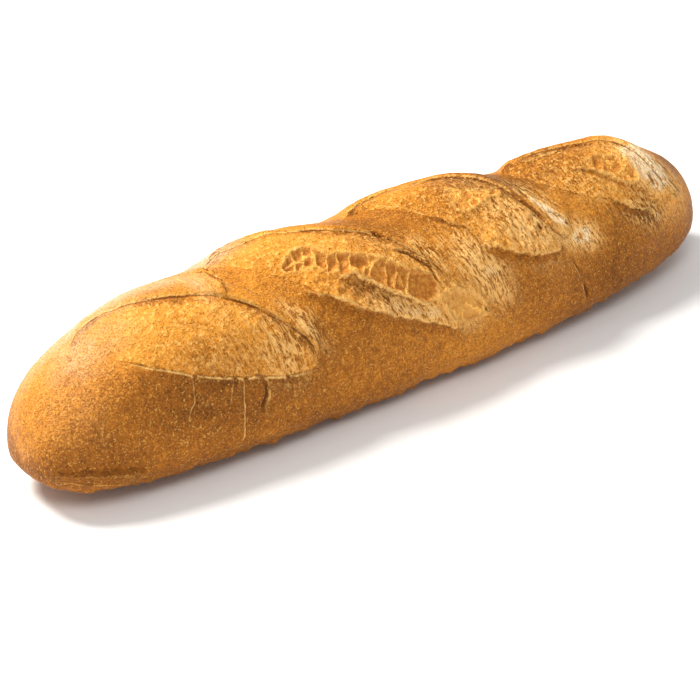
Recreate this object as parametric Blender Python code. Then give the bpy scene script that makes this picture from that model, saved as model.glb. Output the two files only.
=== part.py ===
"""A short crusty baguette with four slashes that burst open across its top.

The loaf is one closed solid in metres, +Z up. It lies along X on its flat underside, with the
origin under its middle. The slashes start on the top and run down the -Y side towards +X.
An angle on the loaf is measured in degrees round its section, from the top towards the -Y side.
"""
import math
from collections import namedtuple

import bmesh
import bpy
from mathutils import noise, Vector

# ---------------------------------------------------------------- the loaf's driving dimensions
LOAF_LENGTH = 0.300
LOAF_WIDTH = 0.0720
SECTION_HEIGHT = 0.0612        # of the rounded section, before its underside is pressed flat
PRESSED_FLAT = 0.0010          # how much of the section's underside the baking tray flattens
WAIST = 0.304                  # height of the widest line, as a share of the section's height
TOP_POWER = 1.96               # 2 is an ellipse, less is more peaked
UNDERSIDE_POWER = 2.48         # more than 2 is boxier

# Each end closes as (1 - |x| ** power) ** bluntness, with x running from 0 to 1 at the tip.
NEAR_END = (2.72, 0.314)       # the -X end
FAR_END = (2.08, 0.374)        # the +X end
NEAR_TIP_DROP = 0.0008         # how far each tip lies below the widest line
FAR_TIP_DROP = 0.0035

# The girth and the centre line vary along the loaf, as a loaf shaped by hand does.
GIRTH_SLOPE = -0.003
GIRTH_BELLY = 0.062
GIRTH_SWELL = 0.104
CENTRE_BOW = -0.0016
CENTRE_SWERVE = 0.0057
CENTRE_SHIFT = 0.00024         # brings the middle of the whole loaf over the origin

# ---------------------------------------------------------------- the slashes
# start and end are the tips of the opening, as (x in metres, angle in degrees).
# ear_bow and skin_bow say how far its two edges stand off the line between the tips, at a
# quarter, a half and three quarters of the way. ear is how high the lifted crust stands, and
# ledge the share of the width, from the skin's edge, below which the torn inside steps down.
Slash = namedtuple("Slash", "start end ear_bow skin_bow ear ledge")
SLASHES = (
    Slash((-0.1286, -3.5), (-0.0494, 72.4), (0.0138, 0.0139, 0.0106), (0.0123, 0.0131, 0.0091), 0.0034, 0.0),
    Slash((-0.0690, -13.0), (0.0262, 80.4), (0.0147, 0.0163, 0.0089), (0.0100, 0.0129, 0.0088), 0.0022, 0.30),
    Slash((-0.0096, -12.3), (0.0712, 49.3), (0.0166, 0.0195, 0.0056), (0.0023, 0.0106, 0.0143), 0.0030, 0.0),
    Slash((0.0622, -15.0), (0.1328, 58.6), (0.0134, 0.0183, 0.0068), (0.0132, 0.0132, 0.0078), 0.0042, 0.50),
)
MEAN_RADIUS = 0.033            # turns an angle into a distance round the loaf
LEAF_RISE = 0.0022             # how far the torn inside of a slash domes up
LEAF_SINK = 0.0012             # how far it dips where it passes under the ear
LEDGE_DROP = 0.0014            # how far it steps down below the ledge of a second tear
EAR_REACH = 0.009              # how far behind its edge the ear fades into the crust
EAR_OVERHANG = 0.0008          # how far the ear's edge leans over the torn inside
EDGE_WIDTH = 0.0022            # width of the step from the torn inside up to the ear
STRAP_DIP = 0.0025             # how far the bands of crust between the slashes are drawn in
STRAP_WIDTH = 0.014
CRAG_HEIGHT = 0.0008           # height of the torn crumb's crags
CRAG_SIZE = 0.007
LOAF_UNEVENNESS = 0.0005       # height of the crust's own gentle lumps
LUMP_SIZE = 0.022
FOOT_FLARE = 0.0006            # how far the crust flares out just above the tray
FOOT_ANGLE = 128.0
FOOT_SPREAD = 14.0

# ---------------------------------------------------------------- the mesh
SEGMENTS_ROUND = 90
RINGS_ALONG = 62
MIDDLE_SHARE = 0.80            # share of the rings that are spaced evenly; the rest crowd at the ends
MESH_TWIST = 1.38              # degrees a millimetre, so that lengthwise edges follow the slashes
CROWDING = 0.35                # how much closer the segments are on the slashed side
CROWDING_ANGLE = 32.0
EDGE_PULL = 0.60               # how strongly vertices gather along the ears' edges
EDGE_PULL_WIDTH = 0.0030

CRUST_COLOUR = (0.55, 0.24, 0.055, 1.0)
CRUST_ROUGHNESS = 0.55


def smooth_step(value):
    """0 below 0, 1 above 1, and an S-curve between."""
    value = min(max(value, 0.0), 1.0)
    return value * value * (3.0 - 2.0 * value)


def opening_envelope(along):
    """0 at a slash's two tips and 1 half way, with rounded tips."""
    return max(4.0 * along * (1.0 - along), 0.0) ** 0.6


def edge_bow(along, bow):
    """How far an edge of a slash stands off the line between its tips."""
    first = bow[0] / opening_envelope(0.25)
    middle = bow[1]
    last = bow[2] / opening_envelope(0.75)
    step = (along - 0.5) / 0.25
    curve = middle + step * (last - first) / 2.0 + step * step * ((first + last) / 2.0 - middle)
    return opening_envelope(along) * curve


def unrolled(x, angle):
    """A place on the loaf as a point on its unrolled surface."""
    return x, math.radians(angle) * MEAN_RADIUS


def slash_line(slash):
    """Start, direction and length of the line between a slash's tips, on the unrolled surface."""
    x0, g0 = unrolled(*slash.start)
    x1, g1 = unrolled(*slash.end)
    length = math.hypot(x1 - x0, g1 - g0)
    return (x0, g0), ((x1 - x0) / length, (g1 - g0) / length), length


def slash_place(slash, x, angle):
    """Share of the way along a slash, and distance across it, positive towards its ear."""
    (x0, g0), (tx, tg), length = slash_line(slash)
    dx, dg = x - x0, math.radians(angle) * MEAN_RADIUS - g0
    return (dx * tx + dg * tg) / length, dx * tg - dg * tx


def slide_across(slash, x, angle, distance):
    """The place that lies a distance further across a slash, towards its ear."""
    _, (tx, tg), _ = slash_line(slash)
    return x + distance * tg, angle - math.degrees(distance * tx / MEAN_RADIUS)


def gather_on_edges(x, angle):
    """Move a vertex towards the edge of a nearby ear, so that the step there stays crisp."""
    for slash in SLASHES:
        along, across = slash_place(slash, x, angle)
        if 0.0 < along < 1.0:
            away = across - edge_bow(along, slash.ear_bow)
            pull = EDGE_PULL * opening_envelope(along) * math.exp(-(away / EDGE_PULL_WIDTH) ** 2)
            x, angle = slide_across(slash, x, angle, -away * pull)
    return x, angle


def strap_depth(x, angle):
    """1 on the bands of crust between neighbouring slashes, falling to 0 on either side."""
    depth = 0.0
    for slash, following in zip(SLASHES, SLASHES[1:]):
        xa, ga = unrolled(*following.start)
        xb, gb = unrolled(*slash.end)
        length = math.hypot(xb - xa, gb - ga)
        gap = ((x - xa) * (gb - ga) - (math.radians(angle) * MEAN_RADIUS - ga) * (xb - xa)) / length
        depth = max(depth, math.exp(-(gap / STRAP_WIDTH) ** 2))
    return depth * smooth_step((math.cos(math.radians(angle)) + 0.2) / 0.6)


def crags(point, size):
    """Uneven lumps of about a given size, between about -1 and 1."""
    return noise.fractal(point / size, 0.9, 2.0, 3)


def slash_relief(slash, x, angle, point):
    """Height that a slash adds to the loaf, and how far its ear leans over the opening."""
    along, across = slash_place(slash, x, angle)
    if not 0.0 < along < 1.0:
        return 0.0, 0.0
    opening = opening_envelope(along)
    ear_edge = edge_bow(along, slash.ear_bow)
    skin_edge = edge_bow(along, slash.skin_bow)
    share = (across + skin_edge) / (ear_edge + skin_edge)
    torn = 0.0
    if 0.0 < share < 1.0:
        dome = (4.0 * share * (1.0 - share)) ** 0.8 * (1.0 - 0.25 * share)
        torn = opening * (LEAF_RISE * dome - LEAF_SINK * smooth_step((share - 0.7) / 0.3))
        if slash.ledge > 0.0:
            stepped = smooth_step((slash.ledge - share) / 0.10) * smooth_step(share / 0.15)
            torn -= LEDGE_DROP * opening * stepped
        torn += CRAG_HEIGHT * opening * smooth_step(5.0 * share) * crags(point, CRAG_SIZE)
    beyond = across - ear_edge
    lifted = smooth_step(beyond / EDGE_WIDTH + 0.5)
    fade = math.exp(-(max(beyond, 0.0) / EAR_REACH) ** 1.5) * smooth_step(1.6 * opening)
    height = torn * (1.0 - lifted) + slash.ear * fade * lifted
    return height, EAR_OVERHANG * fade * lifted


def loaf_point(x, angle):
    """Where the crust lies at a place along and round the loaf."""
    place = x / (LOAF_LENGTH / 2.0)
    power, bluntness = NEAR_END if place < 0.0 else FAR_END
    tip_drop = NEAR_TIP_DROP if place < 0.0 else FAR_TIP_DROP
    closing = max(1.0 - abs(place) ** power, 0.0) ** bluntness
    girth = 1.0 + GIRTH_SLOPE * place
    girth += GIRTH_BELLY * (place ** 2 - 0.33) + GIRTH_SWELL * (place ** 3 - 0.6 * place)

    sine, cosine = math.sin(math.radians(angle)), math.cos(math.radians(angle))
    section_power = TOP_POWER if cosine > 0.0 else UNDERSIDE_POWER
    rise = SECTION_HEIGHT * ((1.0 - WAIST) if cosine > 0.0 else -WAIST)
    side = -0.5 * LOAF_WIDTH * math.copysign(abs(sine) ** (2.0 / section_power), sine)
    up = rise * abs(cosine) ** (2.0 / section_power)
    outward = Vector((0.0, side / (0.5 * LOAF_WIDTH) ** 2, up / rise ** 2)).normalized()

    centre_y = CENTRE_SHIFT + CENTRE_BOW * place ** 2 + CENTRE_SWERVE * place ** 3
    centre_z = SECTION_HEIGHT * WAIST * girth - PRESSED_FLAT - tip_drop * place ** 2 * (1.0 - closing)
    scale = closing * girth
    return Vector((x, centre_y + scale * side, centre_z + scale * up)), outward * math.sqrt(closing)


def crust_point(x, angle):
    """A point of the finished crust: the loaf, its slashes, its lumps and its flat underside."""
    x, angle = gather_on_edges(x, angle)
    smooth_point, _ = loaf_point(x, angle)
    height = LOAF_UNEVENNESS * crags(smooth_point, LUMP_SIZE) - STRAP_DIP * strap_depth(x, angle)
    height += FOOT_FLARE * math.exp(-((abs(angle) - FOOT_ANGLE) / FOOT_SPREAD) ** 2)
    lean_x, lean_angle = x, angle
    for slash in SLASHES:
        slash_height, lean = slash_relief(slash, x, angle, smooth_point)
        height += slash_height
        lean_x, lean_angle = slide_across(slash, lean_x, lean_angle, -lean)
    point, outward = loaf_point(lean_x, lean_angle)
    point += outward * height
    point.z = max(point.z, 0.0)
    return point


def ring_place(share):
    """x of a ring: even spacing in the middle of the loaf, closer and closer towards a tip."""
    middle_end = 2.0 * MIDDLE_SHARE / (1.0 + MIDDLE_SHARE)
    reach = abs(share)
    if reach <= MIDDLE_SHARE:
        place = reach * middle_end / MIDDLE_SHARE
    else:
        place = 1.0 - (1.0 - middle_end) * ((1.0 - reach) / (1.0 - MIDDLE_SHARE)) ** 2
    return math.copysign(place, share) * LOAF_LENGTH / 2.0


def segment_angle(turn, x):
    """Angle of a lengthwise edge: twisted along the loaf and crowded on its slashed side."""
    twisted = turn + MESH_TWIST * x * 1000.0
    angle = twisted - math.degrees(CROWDING * math.sin(math.radians(twisted - CROWDING_ANGLE)))
    return (angle + 180.0) % 360.0 - 180.0


def crust_material():
    material = bpy.data.materials.new("baked crust")
    material.use_nodes = True
    shader = material.node_tree.nodes["Principled BSDF"]
    shader.inputs["Base Color"].default_value = CRUST_COLOUR
    shader.inputs["Roughness"].default_value = CRUST_ROUGHNESS
    shader.inputs["Metallic"].default_value = 0.0
    return material


def make_loaf(collection):
    """The whole loaf: a sphere whose every vertex is moved to its place on the crust."""
    ball = bmesh.new()
    bmesh.ops.create_uvsphere(ball, u_segments=SEGMENTS_ROUND, v_segments=RINGS_ALONG, radius=1.0)
    for vertex in ball.verts:
        share = 1.0 - 2.0 * math.acos(min(max(vertex.co.z, -1.0), 1.0)) / math.pi
        x = ring_place(share)
        turn = math.degrees(math.atan2(vertex.co.y, vertex.co.x))
        vertex.co = crust_point(x, segment_angle(turn, x))
    bmesh.ops.triangulate(ball, faces=ball.faces, quad_method="SHORT_EDGE")
    bmesh.ops.recalc_face_normals(ball, faces=ball.faces)

    mesh = bpy.data.meshes.new("baguette")
    ball.to_mesh(mesh)
    ball.free()
    mesh.shade_smooth()
    mesh.materials.append(crust_material())
    loaf = bpy.data.objects.new("baguette", mesh)
    collection.objects.link(loaf)
    return loaf


def main():
    for old in list(bpy.data.objects):
        bpy.data.objects.remove(old, do_unlink=True)
    collection = bpy.data.collections.new("baguette")
    bpy.context.scene.collection.children.link(collection)
    make_loaf(collection)


if __name__ == "__main__":
    main()
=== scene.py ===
"""The looks of a short crusty baguette with four burst slashes, laid out as a Blender add-on.

The loaf's form is worked out as in its CAD source: one closed surface that lies along X on its
flat underside, with the origin under its middle. An angle on the loaf is measured in degrees
round its section, from the top towards the -Y side. This script repeats that form with a finer
mesh, adds what the oven did to the crust, and bakes it in procedural materials.
"""
import math
from collections import namedtuple

import bmesh
import bpy
import numpy as np
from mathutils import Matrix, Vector, noise


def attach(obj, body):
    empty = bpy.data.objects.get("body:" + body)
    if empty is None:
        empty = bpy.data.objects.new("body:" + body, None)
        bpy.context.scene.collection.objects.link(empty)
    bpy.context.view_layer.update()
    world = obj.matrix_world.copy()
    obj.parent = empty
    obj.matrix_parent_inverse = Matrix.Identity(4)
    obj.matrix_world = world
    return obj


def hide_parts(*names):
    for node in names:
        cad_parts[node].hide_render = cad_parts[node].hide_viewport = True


bl_info = {
    "name": "Crusty baguette",
    "version": (1, 0, 0),
    "blender": (4, 5, 0),
    "location": "View3D > Sidebar > Baguette",
    "description": "Builds the crust, the flakes and the stage of a baguette with burst slashes",
    "category": "Mesh",
}

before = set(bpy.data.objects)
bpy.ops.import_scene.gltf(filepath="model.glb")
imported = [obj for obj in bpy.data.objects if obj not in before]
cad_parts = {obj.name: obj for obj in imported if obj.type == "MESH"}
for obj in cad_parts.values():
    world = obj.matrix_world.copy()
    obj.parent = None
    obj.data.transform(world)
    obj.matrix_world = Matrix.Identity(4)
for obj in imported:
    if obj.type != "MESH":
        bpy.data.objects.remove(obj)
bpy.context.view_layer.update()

# ---------------------------------------------------------------- the loaf's form, as in the CAD
LOAF_LENGTH = 0.300
LOAF_WIDTH = 0.0720
SECTION_HEIGHT = 0.0612        # of the rounded section, before its underside is pressed flat
PRESSED_FLAT = 0.0010          # how much of the section's underside the baking tray flattens
WAIST = 0.304                  # height of the widest line, as a share of the section's height
TOP_POWER = 1.96               # 2 is an ellipse, less is more peaked
UNDERSIDE_POWER = 2.48         # more than 2 is boxier
NEAR_END = (2.72, 0.314)       # power and bluntness of the -X end
FAR_END = (2.08, 0.374)        # power and bluntness of the +X end
NEAR_TIP_DROP = 0.0008         # how far each tip lies below the widest line
FAR_TIP_DROP = 0.0035
GIRTH_SLOPE = -0.003
GIRTH_BELLY = 0.062
GIRTH_SWELL = 0.104
CENTRE_BOW = -0.0016
CENTRE_SWERVE = 0.0057
CENTRE_SHIFT = 0.00024
MEAN_RADIUS = 0.033            # turns an angle into a distance round the loaf

# start and end are the tips of the opening, as (x in metres, angle in degrees).
# ear_bow and skin_bow say how far its two edges stand off the line between the tips, at a
# quarter, a half and three quarters of the way. ear is how high the lifted crust stands.
Slash = namedtuple("Slash", "start end ear_bow skin_bow ear")
SLASHES = (
    Slash((-0.1286, -3.5), (-0.0494, 72.4), (0.0138, 0.0139, 0.0106), (0.0123, 0.0131, 0.0091), 0.0034),
    Slash((-0.0690, -13.0), (0.0262, 80.4), (0.0147, 0.0163, 0.0089), (0.0100, 0.0129, 0.0088), 0.0022),
    Slash((-0.0096, -12.3), (0.0712, 49.3), (0.0166, 0.0195, 0.0056), (0.0023, 0.0106, 0.0143), 0.0030),
    Slash((0.0622, -15.0), (0.1328, 58.6), (0.0134, 0.0183, 0.0068), (0.0132, 0.0132, 0.0078), 0.0042),
)
LEAF_RISE = 0.0022             # how far the torn inside of a slash domes up
EAR_REACH = 0.009              # how far behind its edge the ear fades into the crust
SLASH_REACH = 0.05             # how far across from its line a slash changes the crust
STRAP_DIP = 0.0025             # how far the bands of crust between the slashes are drawn in
STRAP_WIDTH = 0.014
CRAG_SIZE = 0.007
LOAF_UNEVENNESS = 0.0005       # height of the crust's own gentle lumps
LUMP_SIZE = 0.022
FOOT_FLARE = 0.0006            # how far the crust flares out just above the tray
FOOT_ANGLE = 128.0
FOOT_SPREAD = 14.0
FOOT_RAGGED_SPREAD = 12.0      # over how many degrees it is ragged there
FOOT_LUMP_SIZE = 0.005

# ---------------------------------------------------------------- what the oven did to the crust
# How each slash's ear lies over its torn inside. step is the height of the ear's lip above it,
# closes the share of the slash's length where the lip melts into the crust, fibres how strongly the
# stretched fibres show, droop how much further the ear hangs over in its first half than in the
# CAD, and line half the width of the line of painted shade under the lip, in millimetres.
Tear = namedtuple("Tear", "step closes fibres droop line")
TEARS = (
    Tear(0.0015, 1.02, 0.30, 0.0036, 0.40),
    Tear(0.0014, 0.83, 0.50, 0.0036, 0.40),
    Tear(0.0015, 0.98, 0.45, 0.0016, 0.55),
    Tear(0.0016, 0.85, 0.40, 0.0034, 0.40),
)
EDGE_WIDTH = 0.0013            # width of the step from the torn inside up to the ear
EDGE_WANDER = 0.0007           # how far the torn edges stray from their curves
EDGE_WANDER_SIZE = 0.007
LIP_ROUNDING = 0.0016          # how far in from its edge an ear's lip is rounded
CREVICE_WIDTH = 0.0006         # half the width of the gap under an ear's lip
GAPE_SIZE = 0.012              # over what length that gap opens and closes
TORN_GRAIN_HEIGHT = 0.00022    # of the fine grains over the crags
TORN_GRAIN_SIZE = 0.0018
PIMPLE_SIZE = 0.0026
PIMPLY_SIDE = (35.0, 30.0)     # from which angle, and over how many degrees, pimples grow to full height
# How much browner the sides are, from which angle, and over how many degrees that comes in.
BROWNER_SIDE = (0.04, 48.0, 50.0)
BROWNER_SKIN = (0.16, 30.0, 45.0)
BAKING_UNEVENNESS = 0.05
BAKING_LUMP_SIZE = 0.035
# Swellings of the crust: x, angle, reach along and across the swelling's own length, degrees by
# which that length is turned from the loaf's, and height, all but the angles in millimetres.
SWELLINGS = ((112.0, -2.0, 15.0, 20.0, 0.0, 3.0), (128.0, 30.0, 15.0, 5.0, 55.0, 1.6))

# Ways over the crust are lists of (x in millimetres, angle in degrees). The left of a way is its
# left as drawn with x to the right and the angle upwards.

# Pockets are places where a slash, given by its number, tore open down to the crumb: their depth,
# the size of their bubbles along and across the slash, the closed way round them and, where they
# are known, the ways of the walls between the bubbles, all but the angles in millimetres.
Pocket = namedtuple("Pocket", "slash depth bubble_along bubble_across way walls", defaults=((),))
POCKETS = (
    Pocket(1, 2.0, 4.8, 8.5, ((-49, 18.6), (-44.3, 14), (-39.8, 13.4), (-35.7, 16.4), (-34.2, 21.3),
           (-32.6, 23.6), (-29.5, 24.1), (-25.2, 27), (-19, 30.7), (-15.6, 34), (-12.7, 35.9),
           (-9.3, 39.7), (-4.1, 44), (0.7, 47), (3.6, 52), (4.2, 58), (1.3, 62), (-3.9, 61), (-8.1, 57),
           (-10.5, 53.7), (-14.6, 51.5), (-16.9, 49), (-17.8, 46.5), (-20.3, 44.9), (-22.1, 41.4),
           (-23.9, 40.6), (-24.9, 38.6), (-26.1, 34), (-28.3, 35.2), (-31.1, 35), (-31.7, 32.3),
           (-36.1, 31.8), (-37, 30), (-38.2, 26.8), (-40, 25.1), (-43.9, 25.7), (-49.2, 21.7)),
           (((-44.3, 14), (-44, 19), (-46, 24)), ((-47.5, 19.5), (-44, 19), (-40.4, 19.3), (-37.5, 21.3)),
           ((-39.8, 13.4), (-40.4, 19.3), (-43.9, 25.7)), ((-35.7, 16.4), (-37.5, 21.3), (-38.2, 26.8)),
           ((-32.6, 23.6), (-34.1, 28), (-36.1, 31.8)), ((-29.5, 24.1), (-30.3, 28.9), (-31.7, 32.3)),
           ((-25.2, 27), (-26.1, 31), (-28.3, 35.2)), ((-19, 30.7), (-20, 35.1), (-24, 38)), ((-15.6, 34),
           (-19.1, 35.5), (-20.1, 38.5), (-22.1, 41.4)), ((-12.7, 35.9), (-14.7, 41.4), (-16.9, 49)),
           ((-9.3, 39.7), (-12.3, 44.6), (-14.6, 51.5)), ((-9, 43.2), (-10.3, 46.5), (-10.4, 51)),
           ((-5.5, 43), (-7.3, 48.2), (-8, 51.6), (-10.5, 53.7)))),
    Pocket(1, 0.5, 6.0, 8.0, ((5.4, 61), (10.5, 60), (18.2, 65), (21.7, 69), (23.2, 76), (21.6, 80),
           (13.9, 79), (7.9, 74), (4.3, 67))),
    Pocket(2, 0.7, 3.2, 4.0, ((29, 6), (33.4, 11), (40.3, 14), (46.7, 18), (44, 21), (38, 20), (32, 22),
           (25.5, 20), (27.5, 12))),
    Pocket(3, 1.4, 4.0, 7.0, ((91, 13), (96, 12), (102.6, 15), (107.5, 23), (110.5, 31), (109, 37.5),
           (103.5, 35.5), (98.5, 31), (96.5, 25), (92.5, 21))),
)
# In millimetres:
BUBBLE_WALL = 0.15             # half thickness of the walls between bubbles
BUBBLE_SLOPE = 1.3             # how far from a wall a bubble reaches its full depth
BUBBLE_NEAREST = 0.22          # how near to a wall that isn't traced its bubbles begin
POCKET_SLOPE = 1.4             # how far inside its way a pocket reaches its full depth
RIM_HEIGHT = 0.60
RIM_WIDTH = 0.45
RIM_OFFSET = 0.35              # how far outside the way the middle of the torn rim lies
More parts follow.
